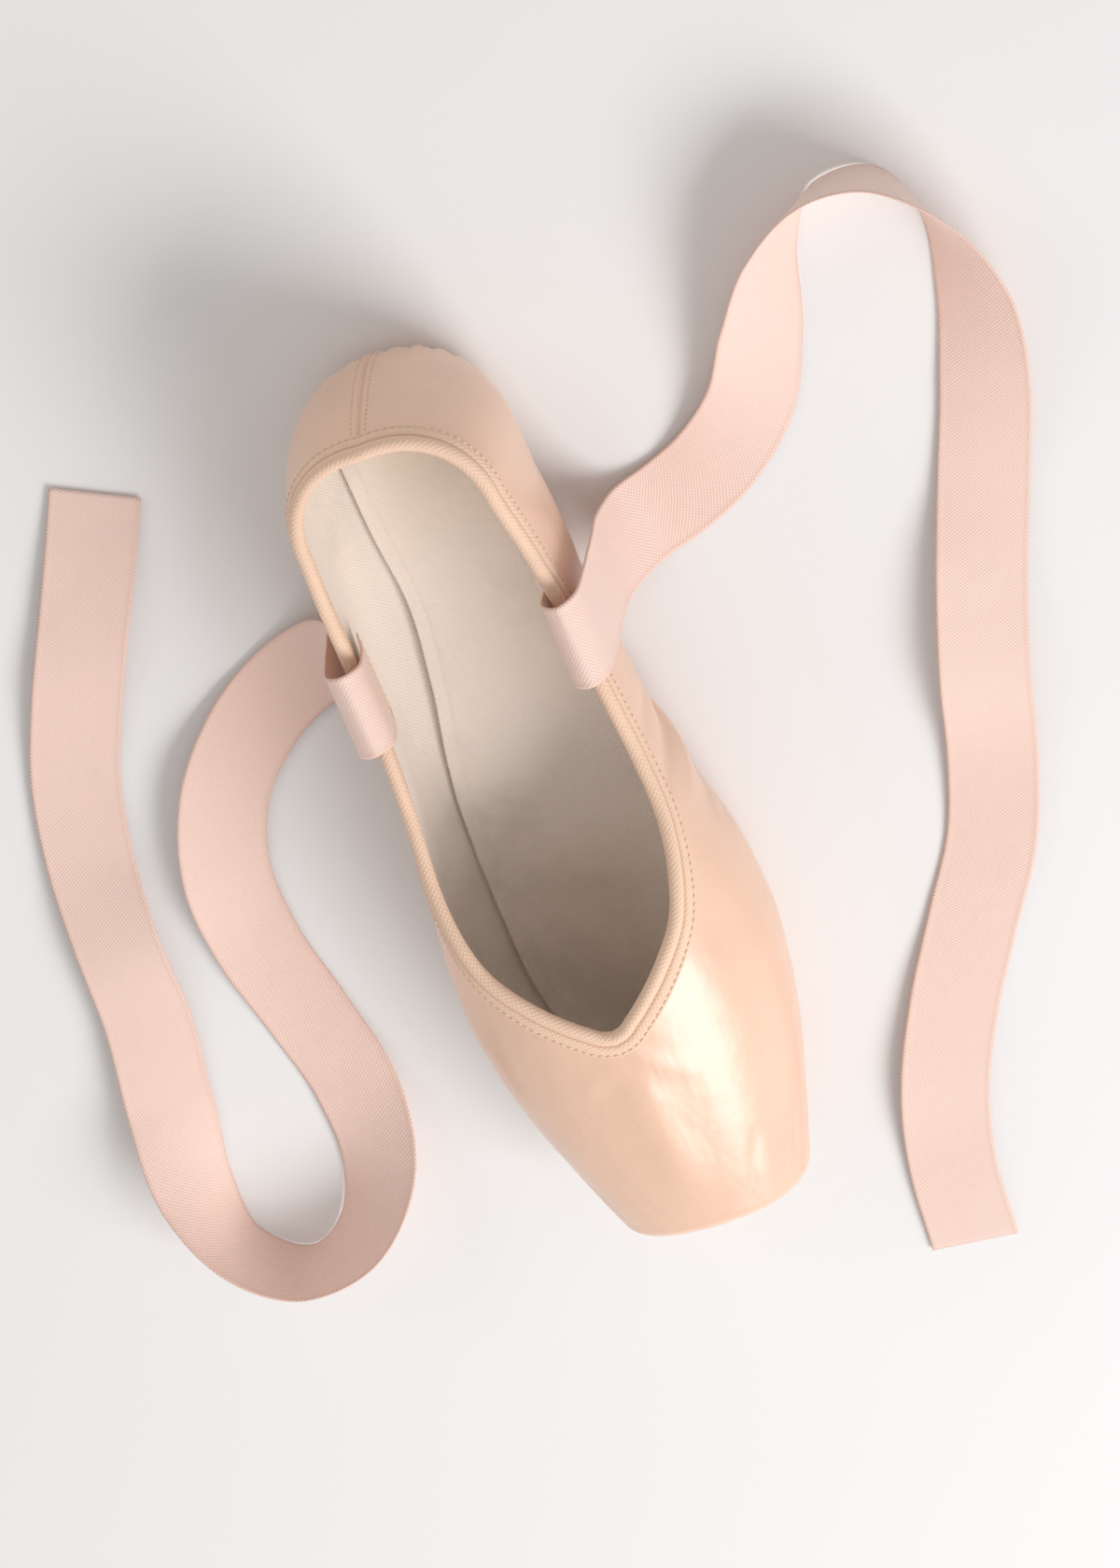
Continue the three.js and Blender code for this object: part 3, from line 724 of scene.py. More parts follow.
def handled(nodes, place, base, soil, rubbed, scale, amount):
    """The colour and the soil mask of a cloth or a leather that hands have touched."""
    inputs = {"Place": place, "Colour": opaque(base), "Soil": opaque(soil), "Rubbed": opaque(rubbed),
              "Scale": scale, "Amount": amount}
    outputs = nodes.group(handled_group(), inputs)
    return outputs["Colour"], outputs["Mask"]


def woven(nodes, cloth, along, across, satin):
    """The height and the slub of woven threads, counted to the metre."""
    inputs = {"Cloth": cloth, "Threads along": along, "Threads across": across, "Satin": satin}
    outputs = nodes.group(weave_group(), inputs)
    return outputs["Height"], outputs["Slub"]


def material_start(name, **constants):
    """A new material with its shader, whose plain numbers are set on the shader's own sockets."""
    material = bpy.data.materials.new(name)
    material.use_nodes = True
    shader = material.node_tree.nodes["Principled BSDF"]
    for label, value in constants.items():
        shader.inputs[label.replace("_", " ")].default_value = value
    nodes = Nodes(material.node_tree)
    place = nodes.add("TexCoord").outputs["Object"]
    cloth = nodes.add("UVMap", uv_map="UVMap").outputs["UV"]
    return material, nodes, shader, place, cloth


def add_bump(nodes, shader, height, strength, distance, normal=None):
    """Gives the shader a bump, on top of another one if its normal is given."""
    inputs = {"Height": height, "Strength": strength, "Distance": distance}
    if normal:
        inputs["Normal"] = normal
    bump = nodes.add("Bump", inputs).outputs["Normal"]
    nodes.give(shader.inputs["Normal"], bump)
    return bump


def made_once(build):
    """Keeps one material of each kind."""
    name = build.__name__

    def get():
        return bpy.data.materials.get(name) or build(name)

    return get


def colours():
    return bpy.context.scene.shoe_colours


def dress(nodes, shader, tone):
    nodes.give(shader.inputs["Base Color"], tone)


@made_once
def satin_material(name):
    base = tuple(colours().satin)
    material, nodes, shader, place, cloth = material_start(
        name, IOR=1.5, Specular_IOR_Level=0.9, Coat_Roughness=0.27, Sheen_Weight=0.1, Sheen_Roughness=0.4)
    shader.inputs["Sheen Tint"].default_value = (1, 0.93, 0.88, 1)
    tone, _ = handled(nodes, place, base, tinted(base, 0.82), tinted(base, 1.06), 22.0, 0.35)
    # Painted shade: the satin's colour is darkened toward a deeper tan in the troughs of its folds, following the
    # fold mark.
    deep = nodes.math("MULTIPLY", nodes.span(nodes.mark("fold"), -0.0001, -0.0012), 0.55)
    dress(nodes, shader, nodes.mix(deep, tone, tinted(base, (0.78, 0.62, 0.5))))
    height, slub = woven(nodes, cloth, 2600.0, 2600.0, 1.0)
    rough = nodes.math("ADD", nodes.math("MULTIPLY", slub, 0.1), 0.3)
    nodes.give(shader.inputs["Roughness"], rough)
    nodes.give(shader.inputs["Coat Weight"], nodes.span(slub, 0.2, 0.8, 0.25, 0.45))
    drawn = nodes.add("Mapping", {"Vector": place, "Scale": (0.3, 1.0, 1.0)}).outputs["Vector"]
    rumple = nodes.math("ADD", nodes.noise(place, 95.0, 3.0, 0.5), nodes.noise(drawn, 150.0, 2.0, 0.5))
    soft = add_bump(nodes, shader, rumple, 0.3, 0.0011)
    add_bump(nodes, shader, height, 0.09, 0.00012, soft)
    return material


def plain_cloth(name, base, soil, threads, rough, amount=0.4, scale=30.0):
    """Matt woven cloth: tape, ribbon, lining. Gives back its material, and its colour to work on."""
    material, nodes, shader, place, cloth = material_start(
        name, IOR=1.45, Specular_IOR_Level=0.25, Sheen_Weight=0.2, Sheen_Roughness=0.45)
    tone, _ = handled(nodes, place, base, tinted(base, soil), tinted(base, 1.08), scale, amount)
    height, slub = woven(nodes, cloth, *threads, 0.0)
    # Painted shade: the colour is darkened where the weave's height is lowest, in the hollows between the threads.
    tone = nodes.mix(nodes.span(height, -0.2, -1.0, 0.0, 0.3), tone, tinted(base, 0.78))
    dress(nodes, shader, tone)
    nodes.give(shader.inputs["Roughness"], nodes.span(slub, 0.2, 0.8, rough - 0.06, rough + 0.08))
    soft = add_bump(nodes, shader, nodes.noise(place, 140.0, 3.0), 0.3, 0.0006)
    add_bump(nodes, shader, height, 0.35, 0.00018, soft)
    return material, nodes, shader, place, tone


@made_once
def binding_material(name):
    base = tuple(colours().binding)
    material, nodes, shader, _, tone = plain_cloth(name, base, 0.8, (1500.0, 1500.0), 0.62)
    # Painted shade: the tape's colour is darkened along the lines of its section that lie in a groove and in the
    # stitches' hollow.
    groove = nodes.math("MULTIPLY", nodes.mark("groove"), 0.6)
    dress(nodes, shader, nodes.mix(groove, tone, tinted(base, (0.7, 0.52, 0.42))))
    return material


@made_once
def ribbon_material(name):
    base = tuple(colours().ribbon)
    material, nodes, shader, _, tone = plain_cloth(name, base, 0.9, (2200.0, 1800.0), 0.5, 0.25)
    edge = nodes.math("MULTIPLY", nodes.mark("selvedge"), 0.5)
    dress(nodes, shader, nodes.mix(edge, tone, tinted(base, (0.93, 0.84, 0.8))))
    shader.inputs["Specular IOR Level"].default_value = 0.45
    return material


@made_once
def lining_material(name):
    return plain_cloth(name, tuple(colours().lining), 0.75, (1800.0, 1800.0), 0.8, 0.5, 26.0)[0]


@made_once
def thread_material(name):
    return plain_cloth(name, tinted(colours().binding, 1.04), 0.8, (5000.0, 2500.0), 0.45)[0]


@made_once
def seam_material(name):
    return plain_cloth(name, tinted(colours().satin, 1.04), 0.85, (1700.0, 1700.0), 0.5)[0]


@made_once
def sock_material(name):
    base = tuple(colours().lining)
    material, nodes, shader, place, tone = plain_cloth(name, base, 0.7, (1900.0, 1900.0), 0.75, 0.6, 24.0)
    patches = nodes.span(nodes.noise(place, 45.0, 4.0), 0.2, 0.8, 0.2, 0.5)
    worn = nodes.math("MULTIPLY", nodes.mark("worn"), patches)
    dress(nodes, shader, nodes.mix(worn, tone, tinted(base, (0.7, 0.62, 0.52))))
    return material


@made_once
def leather_material(name):
    base = tuple(colours().leather)
    material, nodes, shader, place, _ = material_start(name, IOR=1.48, Specular_IOR_Level=0.35)
    grain = nodes.group(grain_group(), {"Place": place, "Scale": 1100.0})
    tone, soil = handled(nodes, place, base, tinted(base, 0.68), tinted(base, 1.16), 28.0, 0.7)
    drag = nodes.add("Mapping", {"Vector": place, "Scale": (0.12, 1.0, 1.0)}).outputs["Vector"]
    scratch = nodes.span(nodes.noise(drag, 520.0, 2.0, 0.6), 0.62, 0.74, 0.0, 0.3)
    tone = nodes.mix(scratch, tone, tinted(base, 1.2))
    tone = nodes.mix(nodes.span(grain["Pores"], 0.52, 0.36, 0.0, 0.35), tone, tinted(base, 0.72))
    for mark, dark in (("groove", (0.72, 0.6, 0.45)), ("edge", (0.45, 0.34, 0.22))):
        tone = nodes.mix(nodes.math("MULTIPLY", nodes.mark(mark), 0.85), tone, tinted(base, dark))
    dress(nodes, shader, tone)
    nodes.give(shader.inputs["Roughness"], nodes.span(soil, 0.0, 0.7, 0.6, 0.78))
    add_bump(nodes, shader, grain["Height"], 0.4, 0.00025)
    return material


# ---------------------------------------------------------------- stage


LIGHTS = rows(
    "name place aim size power colour",
    ("key_light", (0.95, 0.75, 1.0), (0.02, 0, 0.02), (1.1, 0.85), 19, (1, 0.985, 0.978)),
    ("fill_light", (-1.0, -1.0, 0.8), (0, 0, 0.02), (0.9, 0.5), 2.2, (1, 0.84, 0.7)),
)
DAYLIGHT, DAYLIGHT_STRENGTH = (1, 0.99, 0.98), 0.5
FLOOR_REACH, FLOOR_ROUGHNESS = 3, 0.75
CAMERA_AIM = (0.0, 0.003, 0.02)
CAMERA_REACH = 20


def add_area_light(name, place, aim, size, power, colour):
    light = bpy.data.lights.new(name, "AREA")
    light.shape = "RECTANGLE"
    light.size, light.size_y = size
    light.energy = power
    light.color = colour
    lamp = bpy.data.objects.new(name, light)
    lamp.location = place
    lamp.rotation_euler = (Vector(aim) - Vector(place)).to_track_quat("-Z", "Y").to_euler()
    bpy.context.scene.collection.objects.link(lamp)


class SHOE_OT_stage(bpy.types.Operator):
    """Floor, studio light and camera."""

    bl_idname = "pointe_shoe.stage"
    bl_label = "Stage"

    def execute(self, context):
        scene = context.scene
        scene.view_settings.view_transform = "Standard"
        mesh = bpy.data.meshes.new("floor")
        bm = bmesh.new()
        bmesh.ops.create_grid(bm, x_segments=1, y_segments=1, size=FLOOR_REACH)
        bm.to_mesh(mesh)
        bm.free()
        floor = bpy.data.objects.new("floor", mesh)
        scene.collection.objects.link(floor)
        material = bpy.data.materials.new("floor_paint")
        material.use_nodes = True
        shader = material.node_tree.nodes["Principled BSDF"]
        shader.inputs["Base Color"].default_value = opaque(colours().floor)
        shader.inputs["Roughness"].default_value = FLOOR_ROUGHNESS
        mesh.materials.append(material)
        world = bpy.data.worlds.new("studio")
        world.use_nodes = True
        background = world.node_tree.nodes["Background"]
        background.inputs["Color"].default_value = opaque(DAYLIGHT)
        background.inputs["Strength"].default_value = DAYLIGHT_STRENGTH
        scene.world = world
        for light in LIGHTS:
            add_area_light(**light)
        self.add_camera(scene, scene.shoe_sizes)
        return {"FINISHED"}

    def add_camera(self, scene, sizes):
        toward = Vector((-math.tan(sizes.lean_back), math.tan(sizes.lean_side), 1)).normalized()
        toe = Vector((1, 0, 0))
        toe = (toe - toe.dot(toward) * toward).normalized()
        across = toward.cross(toe)
        right = math.sin(sizes.toe_turn) * toe + math.cos(sizes.toe_turn) * across
        upward = -math.cos(sizes.toe_turn) * toe + math.sin(sizes.toe_turn) * across
        aim = Vector(CAMERA_AIM)
        data = bpy.data.cameras.new("camera")
        data.lens = data.sensor_width * sizes.camera_distance / sizes.camera_frame
        data.clip_end = CAMERA_REACH
        camera = bpy.data.objects.new("camera", data)
        turn = Matrix((right, upward, toward)).transposed()
        camera.matrix_world = Matrix.Translation(aim + toward * sizes.camera_distance) @ turn.to_4x4()
        scene.collection.objects.link(camera)
        scene.camera = camera


# ---------------------------------------------------------------- ribbons

LEAST_GAP = 1e-4
RIBBON_STEPS = 460
RIBBON_ACROSS = 32
# Rise and span of a ribbon's woven edge, as shares of half its width
SELVEDGE_LIFT, SELVEDGE = 0.08, (0.88, 0.94)


def smooth_curve(points, steps=RIBBON_STEPS):
    """A centripetal Catmull-Rom curve through points, sampled evenly by point number."""
    points = np.array(points, float)
    padded = np.vstack([2 * points[0] - points[1], points, 2 * points[-1] - points[-2]])
    share = np.linspace(0, len(points) - 1, steps + 1)
    k = np.minimum(share.astype(int), len(points) - 2)
    t = (share - k)[:, None]
    p0, p1, p2, p3 = (padded[k + i] for i in range(4))
    gaps = [np.linalg.norm(a - b, axis=1)[:, None] ** 0.5 for a, b in ((p0, p1), (p1, p2), (p2, p3))]
    d0, d1, d2 = (np.where(gap < LEAST_GAP, 1.0, gap) for gap in gaps)
    m1 = ((p1 - p0) / d0 - (p2 - p0) / (d0 + d1) + (p2 - p1) / d1) * d1
    m2 = ((p2 - p1) / d1 - (p3 - p1) / (d1 + d2) + (p3 - p2) / d2) * d1
    return ((2 * t**3 - 3 * t**2 + 1) * p1 + (t**3 - 2 * t**2 + t) * m1
            + (3 * t**2 - 2 * t**3) * p2 + (t**3 - t**2) * m2)


def ribbon_frames(route, side):
    """Centreline, width direction and face direction along a ribbon."""
    centre = smooth_curve([row[:3] for row in route])
    roll = np.radians(smooth_curve([(row[3], 0, 0) for row in route])[:, 0])
    centre[:, 2] -= EDGE_SETTLE * np.abs(np.sin(roll))
    tangent = unit(np.gradient(centre, axis=0))
    along = np.array([side, 0, 0]) - side * tangent[:, :1] * tangent
    level = unit(np.cross(tangent, [0, 0, 1]))
    landing = (LAID_FROM - 1) / (len(route) - 1)
    laid = smooth_step(np.linspace(0, 1, RIBBON_STEPS + 1), landing - 0.06, landing + 0.02)[:, None]
    width = unit(unit(along) * (1 - laid) + np.where(laid > 0, level, 0) * laid)
    width = width * np.cos(roll)[:, None] + np.cross(tangent, width) * np.sin(roll)[:, None]
    return centre, width, unit(np.cross(width, tangent))


def travel(points):
    """Distance along a line of points, at each point."""
    return np.concatenate([[0], np.cumsum(np.linalg.norm(np.diff(points, axis=0), axis=1))])


class SHOE_OT_ribbons(bpy.types.Operator):
    """The two ankle ribbons, sewn inside the quarters and lying loose."""

    bl_idname = "pointe_shoe.ribbons"
    bl_label = "Ribbons"

    def execute(self, context):
        for name, (route, side) in zip(("ribbon_left", "ribbon_right"), ROUTES):
            self.add_ribbon(context.scene.shoe_sizes, name, route, side)
        return {"FINISHED"}

    def add_ribbon(self, sizes, name, route, side):
        centre, width, face = ribbon_frames(route, side)
        half = sizes.ribbon_width / MM / 2

        def shape(s, t):
            at = s * RIBBON_STEPS
            k = np.minimum(at.astype(int), RIBBON_STEPS - 1)
            part = (at - k)[:, None]
            middle, wide, out = (line[k] * (1 - part) + line[k + 1] * part for line in (centre, width, face))
            across = t * 2 - 1
            edge = smooth_step(np.abs(across), *SELVEDGE)
            points = middle + wide * across[:, None] * half + out * edge[:, None] * SELVEDGE_LIFT
            return points, (edge,)

        mesh = sheet_mesh(name + "_cloth", RIBBON_STEPS, RIBBON_ACROSS, shape, side == -1, ("selvedge",))
        piece = add_piece(mesh, ribbon_material(), [name])
        thick = piece.modifiers.new("cloth_thickness", "SOLIDIFY")
        thick.thickness = sizes.ribbon_thick
        thick.offset = 0
        path = in_row(centre).tolist()


class SHOE_OT_ribbon_stitches(bpy.types.Operator):
    """Box of stitches that holds each ribbon inside the quarter."""

    bl_idname = "pointe_shoe.ribbon_stitches"
    bl_label = "Ribbon stitches"

    # Rows of the route that the box spans, its margin at the ribbon's edges, and its stitches' lift
    SEWN_ROWS = (0.12, 0.8)
    MARGIN = 1.6
    LIFT = 0.25
    END_POINTS = 40

    def execute(self, context):
        sizes = context.scene.shoe_sizes
        pitch = sizes.stitch_pitch / MM
        inset = sizes.ribbon_width / MM / 2 - self.MARGIN
        lines = []
        for route, side in ROUTES:
            centre, width, _ = ribbon_frames(route, side)
            start, end = (int(RIBBON_STEPS / (len(route) - 1) * row) for row in self.SEWN_ROWS)
            sides = [centre[start:end] + width[start:end] * inset * edge for edge in (-1, 1)]
            across = np.linspace(-inset, inset, self.END_POINTS)[:, None]
            ends = [centre[k] + width[k] * across for k in (start, end)]
            for line in sides + ends:
                outs = np.tile([0.0, -side, 0.0], (len(line), 1))
                lines.append(stitch_row(line + outs * self.LIFT, outs, pitch, pitch * 0.6))
        add_stitches("ribbon_stitches", lines, 0.45, 0.4)
        return {"FINISHED"}


# ---------------------------------------------------------------- satin upper

# Shares of a sheet that end the flat under the foot and the lower wall, and the vamp's body and its edge
FLAT_END, WALL_END = 0.1, 0.52
BODY_END, EDGE_END = 0.82, 0.89
VAMP_GRID, QUARTER_GRID, LINING_GRID = (330, 134), (190, 120), (220, 60)


def up_the_side(share, place):
    """Spreads a share over the flat under the foot, the lower wall and the wall above it."""
    flat = -2 + share / FLAT_END
    wall = -1 + (share - FLAT_END) / (WALL_END - FLAT_END)
    high = (share - WALL_END) / (1 - WALL_END) * rim(place)
    return np.where(share < FLAT_END, flat, np.where(share < WALL_END, wall, high))


def vamp_place(share, seam):
    """Spreads a share from the side seam to the toe, round its edge and over the platform."""
    body = seam + (LENGTH - PLATFORM_ROUND - seam) * share / BODY_END
    turn = np.clip((share - BODY_END) / (EDGE_END - BODY_END), 0, 1) * RIGHT_ANGLE
    edge = LENGTH - PLATFORM_ROUND * (1 - np.sin(turn))
    cap = LENGTH + np.clip((share - EDGE_END) / (1 - EDGE_END), 0, 1)
    return np.where(share < BODY_END, body, np.where(share < EDGE_END, edge, cap))


def seam_at(share):
    """Side seam's place and height for a share from the sole to the collar."""
    up = up_the_side(share, SEAM_AT_COLLAR)
    return seam_place(up, float(rim(SEAM_AT_COLLAR))), up


def satin_sheet(share, place, side):
    """Satin at places, with its fold height in metres, by which the satin's colour is painted darker in the troughs
    as shade.
    """
    points, _, height = satin_surface(place, up_the_side(share, place), side)
    return points, (height * MM,)


class SHOE_OT_upper(bpy.types.Operator):
    """Satin vamp and quarters, pleated under the toe and gathered under the heel."""

    bl_idname = "pointe_shoe.upper"
    bl_label = "Satin upper"

    def execute(self, context):
        def vamp(s, t, side):
            return satin_sheet(t, vamp_place(s, seam_at(t)[0]), side)

        mesh = both_sides("vamp_satin", *VAMP_GRID, vamp, ("fold",))
        add_piece(mesh, satin_material(), ["upper"])

        def quarter(s, t):
            return satin_sheet(t, seam_at(t)[0] * (0.4 * s + 0.6 * s * s), side)

        for name, side in zip(("quarter_left_satin", "quarter_right_satin"), SIDES):
            mesh = sheet_mesh(name, *QUARTER_GRID, quarter, side == 1, ("fold",))
            add_piece(mesh, satin_material())
        return {"FINISHED"}


class SHOE_OT_lining(bpy.types.Operator):
    """Cotton lining inside the upper."""

    bl_idname = "pointe_shoe.lining"
    bl_label = "Lining"

    def execute(self, context):
        def inside(s, t, side):
            place = vamp_place(s, 0.0)
            points = last_point(place, up_the_side(t, place), WALL)
            points[:, 1] *= side
            return points

        mesh = both_sides("lining", *LINING_GRID, inside, flip=True)
        add_piece(mesh, lining_material())
        return {"FINISHED"}


# ---------------------------------------------------------------- binding, seams and stitches

RIM_STEP = 0.6


def at_ends(places):
    """Which places lie on the shoe's middle plane, at the heel and at the throat's tip."""
    return places <= TINY, places >= THROAT_TIP - TINY


def rim_frames(places):
    """Points of the collar's edge, with the directions out of the shoe and down from the edge."""
    behind = np.maximum(places - RIM_STEP, 0)
    ahead = np.minimum(places + RIM_STEP, THROAT_TIP)
    along = last_point(behind, rim(behind)) - last_point(ahead, rim(ahead))
    heel, tip = at_ends(places)
    along[tip] = (0, 1, 0)
    along[heel] = (0, -1, 0)
    out = normals(places, rim(places))
    out[tip | heel, 1] = 0
    out = unit(out)
    return last_point(places, rim(places)), out, unit(np.cross(unit(along), out))


def rim_walk(places, down, distance):
    """Place and height of points that lie a distance down from the collar's edge."""
    return walk(places, rim(places), down, np.full(len(places), distance))


# Tape's section: share of its depth and lift over the cloth, outside, then inside
BAND_OUTSIDE = [(1.0, 0.02), (1.0, 0.3), (0.985, 0.5), (0.94, 0.6), (0.88, 0.55), (0.82, 0.6), (0.7, 0.7),
                (0.56, 0.72), (0.45, 0.6), (0.4, 0.34), (0.36, 0.32), (0.32, 0.5)]
ROLL_DOWN, ROLL_RADIUS, ROLL_STEPS = 0.9, 1.75, 12
BAND_INSIDE = [(0.4, 0.7), (0.7, 0.7), (0.95, 0.6), (1.0, 0.4), (1.0, 0.02)]
TAPE_LINES = len(BAND_OUTSIDE) + ROLL_STEPS + 1 + len(BAND_INSIDE)
TAPE_STEPS = 300
# Lines of the section that lie in a groove, and the one in the stitches' hollow, where the tape's colour is painted
# darker as shade
TAPE_GROOVES, TAPE_HOLLOW = (0, 9, 10), 4


def tape_point(places, number, depth):
    """One line of the tape's section, from its outer edge over the roll to its inner edge."""
    edge, out, down = rim_frames(places)
    if number < len(BAND_OUTSIDE):
        share, lift = BAND_OUTSIDE[number]
        walked, up = rim_walk(places, down, share * depth)
        return last_point(walked, up) + normals(walked, up) * lift
    number -= len(BAND_OUTSIDE)
    if number <= ROLL_STEPS:
        turn = math.pi * number / ROLL_STEPS
        centre = edge - out * WALL / 2 + down * ROLL_DOWN
        return centre + (out * math.cos(turn) - down * math.sin(turn)) * ROLL_RADIUS
    share, lift = BAND_INSIDE[number - ROLL_STEPS - 1]
    walked, up = rim_walk(places, down, share * depth)
    return last_point(walked, up, WALL) - normals(walked, up) * lift


def add_stitches(name, lines, width, thick):
    """Stitches as small rounded beads: lines of middles, directions and normals, with one length."""
    bm = bmesh.new()
    for middles, alongs, outs, length in lines:
        for middle, along, out in zip(in_row(middles), alongs, outs):
            along, out = Vector(along).normalized(), Vector(out).normalized()
            across = out.cross(along).normalized()
            out = along.cross(across)
            axes = Matrix((along * length / 2, across * width / 2, out * thick / 2)).transposed() * MM
            matrix = Matrix.Translation(middle) @ axes.to_4x4()
            bmesh.ops.create_uvsphere(bm, u_segments=8, v_segments=6, radius=1, matrix=matrix, calc_uvs=True)
    for face in bm.faces:
        face.smooth = True
    bmesh.ops.recalc_face_normals(bm, faces=bm.faces)
    mesh = bpy.data.meshes.new(name)
    bm.to_mesh(mesh)
    bm.free()
    mesh.uv_layers.new(name="UVMap")
    add_piece(mesh, thread_material())


def stitch_middles(points, pitch):
    """Middles of the stitches that fit a line of points, about one pitch apart."""
    travelled = travel(points)
    count = max(int(travelled[-1] / pitch), 1)
    wanted = (np.arange(count) + 0.5) * travelled[-1] / count
    return np.stack([np.interp(wanted, travelled, points[:, k]) for k in range(3)], axis=1)


def stitch_row(points, outs, pitch, length):
    """A row of stitches along a line that lies on the cloth."""
    middles = stitch_middles(points, pitch)
    alongs = unit(np.gradient(middles, axis=0))
    nearest = np.argmin(np.linalg.norm(points[None] - middles[:, None], axis=2), axis=1)
    return middles, alongs, outs[nearest], length


def with_mirror(row):
    """A row of stitches, and the same row on the shoe's other side."""
    *vectors, length = row
    return [row, (*(vector * np.array([1, -1, 1]) for vector in vectors), length)]


def tape_place(share):
    """Places of the tape down the collar's edge, closest together at the throat's tip."""
    return THROAT_TIP * (1 - (1 - share) ** 1.6)


def stitched_places(count):
    """Places down the collar's edge, close together at the heel and at the throat."""
    share = np.linspace(0, 1, count)
    return THROAT_TIP * (share - 0.05 * np.sin(2 * math.pi * share))


class SHOE_OT_binding(bpy.types.Operator):
    """Tape folded over the collar, with its row of stitches."""

    bl_idname = "pointe_shoe.binding"
    bl_label = "Collar binding"

    # How far down the tape its stitches run, their lift, and the points that their line is measured by
    STITCHED_AT = 0.88
    LIFT = 0.62
    LINE_POINTS = 900

    def execute(self, context):
        sizes = context.scene.shoe_sizes
        depth = sizes.binding_depth / MM

        def tape(s, t, side):
            places = tape_place(s)
            number = np.rint(t * (TAPE_LINES - 1)).astype(int)
            points = np.zeros((len(s), 3))
            for line in range(TAPE_LINES):
                chosen = number == line
                points[chosen] = tape_point(places[chosen], line, depth)
            points[:, 1] *= side
            points[np.logical_or(*at_ends(places)), 1] = 0
            # The groove mark, full on the groove lines and weaker on the stitches' hollow, darkens the tape's
            # colour there as painted shade.
            return points, (np.isin(number, TAPE_GROOVES) + 0.4 * (number == TAPE_HOLLOW),)

        mesh = both_sides("collar_binding_tape", TAPE_STEPS, TAPE_LINES - 1, tape, ("groove",))
        add_piece(mesh, binding_material(), ["collar_binding"])
        places = stitched_places(self.LINE_POINTS)
        walked, up = rim_walk(places, rim_frames(places)[2], self.STITCHED_AT * depth)
        outs = normals(walked, up)
        pitch = sizes.stitch_pitch / MM
        row = stitch_row(last_point(walked, up) + outs * self.LIFT, outs, pitch, pitch * 0.66)
        add_stitches("binding_stitches", with_mirror(row), 0.7, 0.6)
        return {"FINISHED"}


def seam_tape_lift(across):
    """Lift of the side seam's tape over the satin: flat, closed at its edges, pressed in by its stitches."""
    return 0.5 * (1 - across**8) - 0.16 * bell(across, 0.55, 0.16) - 0.05


class SHOE_OT_seams(bpy.types.Operator):
    """Tapes over the side seams and the stitching of the back seam."""

    bl_idname = "pointe_shoe.seams"
    bl_label = "Seams"

    TAPE_HALF = 2.1
    TAPE_GRID = (120, 24)
    STITCHED_ACROSS = (-0.55, 0.55)
    LINE_POINTS = 200
    # The back seam's stitches: points of their line, how far beside the seam, and how high it ends under the edge
    BACK_POINTS = 220
    BACK_OFFSET = 1.25
    BACK_LOW, BACK_UNDER_EDGE = -0.86, 0.06

    def execute(self, context):
        pitch = context.scene.shoe_sizes.stitch_pitch / MM
        lines = []

        def tape(s, t):
            middle, up = seam_at(0.1 + 0.88 * s)
            across = t * 2 - 1
            points, out, _ = satin_surface(middle + across * self.TAPE_HALF, up, side)
            return points + out * seam_tape_lift(np.abs(across))[:, None]

        for name, side in zip(("side_seam_left_tape", "side_seam_right_tape"), SIDES):
            add_piece(sheet_mesh(name, *self.TAPE_GRID, tape, side == -1), seam_material())
            for across in self.STITCHED_ACROSS:
                middle, up = seam_at(0.11 + 0.86 * np.linspace(0, 1, self.LINE_POINTS))
                points, out, _ = satin_surface(middle + across * self.TAPE_HALF, up, side)
                lines.append(stitch_row(points + out * 0.42, out, pitch * 0.75, pitch * 0.5))
        up = np.linspace(self.BACK_LOW, float(rim(0.0)) - self.BACK_UNDER_EDGE, self.BACK_POINTS)
        points, out, _ = satin_surface(np.full(self.BACK_POINTS, self.BACK_OFFSET), up, 1)
        lines += with_mirror(stitch_row(points + out * 0.05, out, pitch, pitch * 0.6))
        add_stitches("seam_stitches", lines, 0.5, 0.4)
        return {"FINISHED"}


# ---------------------------------------------------------------- sole and sock

LATTICE_ALONG, LATTICE_ACROSS = 8.75, 6.2
LATTICE_FROM = 11 * LATTICE_ALONG
GROOVE_WIDE, GROOVE_DEEP = 0.42, 0.4
SOLE_EDGE_ROUND = 0.7
SOLE_GRID, SOCK_GRID = (430, 104), (200, 40)
# Shares of the outsole's sheet that end its underside, its rounded edge and its wall
UNDER_END, ROUND_END, SIDE_END = 0.62, 0.76, 0.82
# Pressed marks of the shank: a ring, then single and paired lozenges by place, reach and dots to a side
DOT_RING = {"place": 24, "along": 9.5, "across": 8.2, "dots": 24}
LOZENGES = rows("place reach dots offsets", (24, 3.8, 3, (0,)), (52, 2.6, 2, (-4.2, 4.2)),
                (64, 3.4, 3, (-4.2, 4.2)), (76, 3.4, 3, (-4.2, 4.2)))
DOT_WIDE, DOT_DEEP = 0.42, 0.3


def groove_mask(x, y):
    """1 in the bottom of the crossed grooves of the tread, which start in a zigzag."""
    slope = math.hypot(1 / LATTICE_ALONG, 1 / LATTICE_ACROSS)
    lines = np.full(x.shape, 9.0)
    for sign in (1, -1):
        count = x / LATTICE_ALONG + sign * y / LATTICE_ACROSS
        lines = np.minimum(lines, np.abs(count - np.rint(count)) / slope)
    zigzag = 1 - np.abs(1 - 2 * np.mod(y / LATTICE_ACROSS, 1))
    start = LATTICE_FROM + LATTICE_ALONG / 2 * zigzag
    return np.exp(-((lines / GROOVE_WIDE) ** 2)) * smooth_step(x, start - 0.5, start + 0.1)


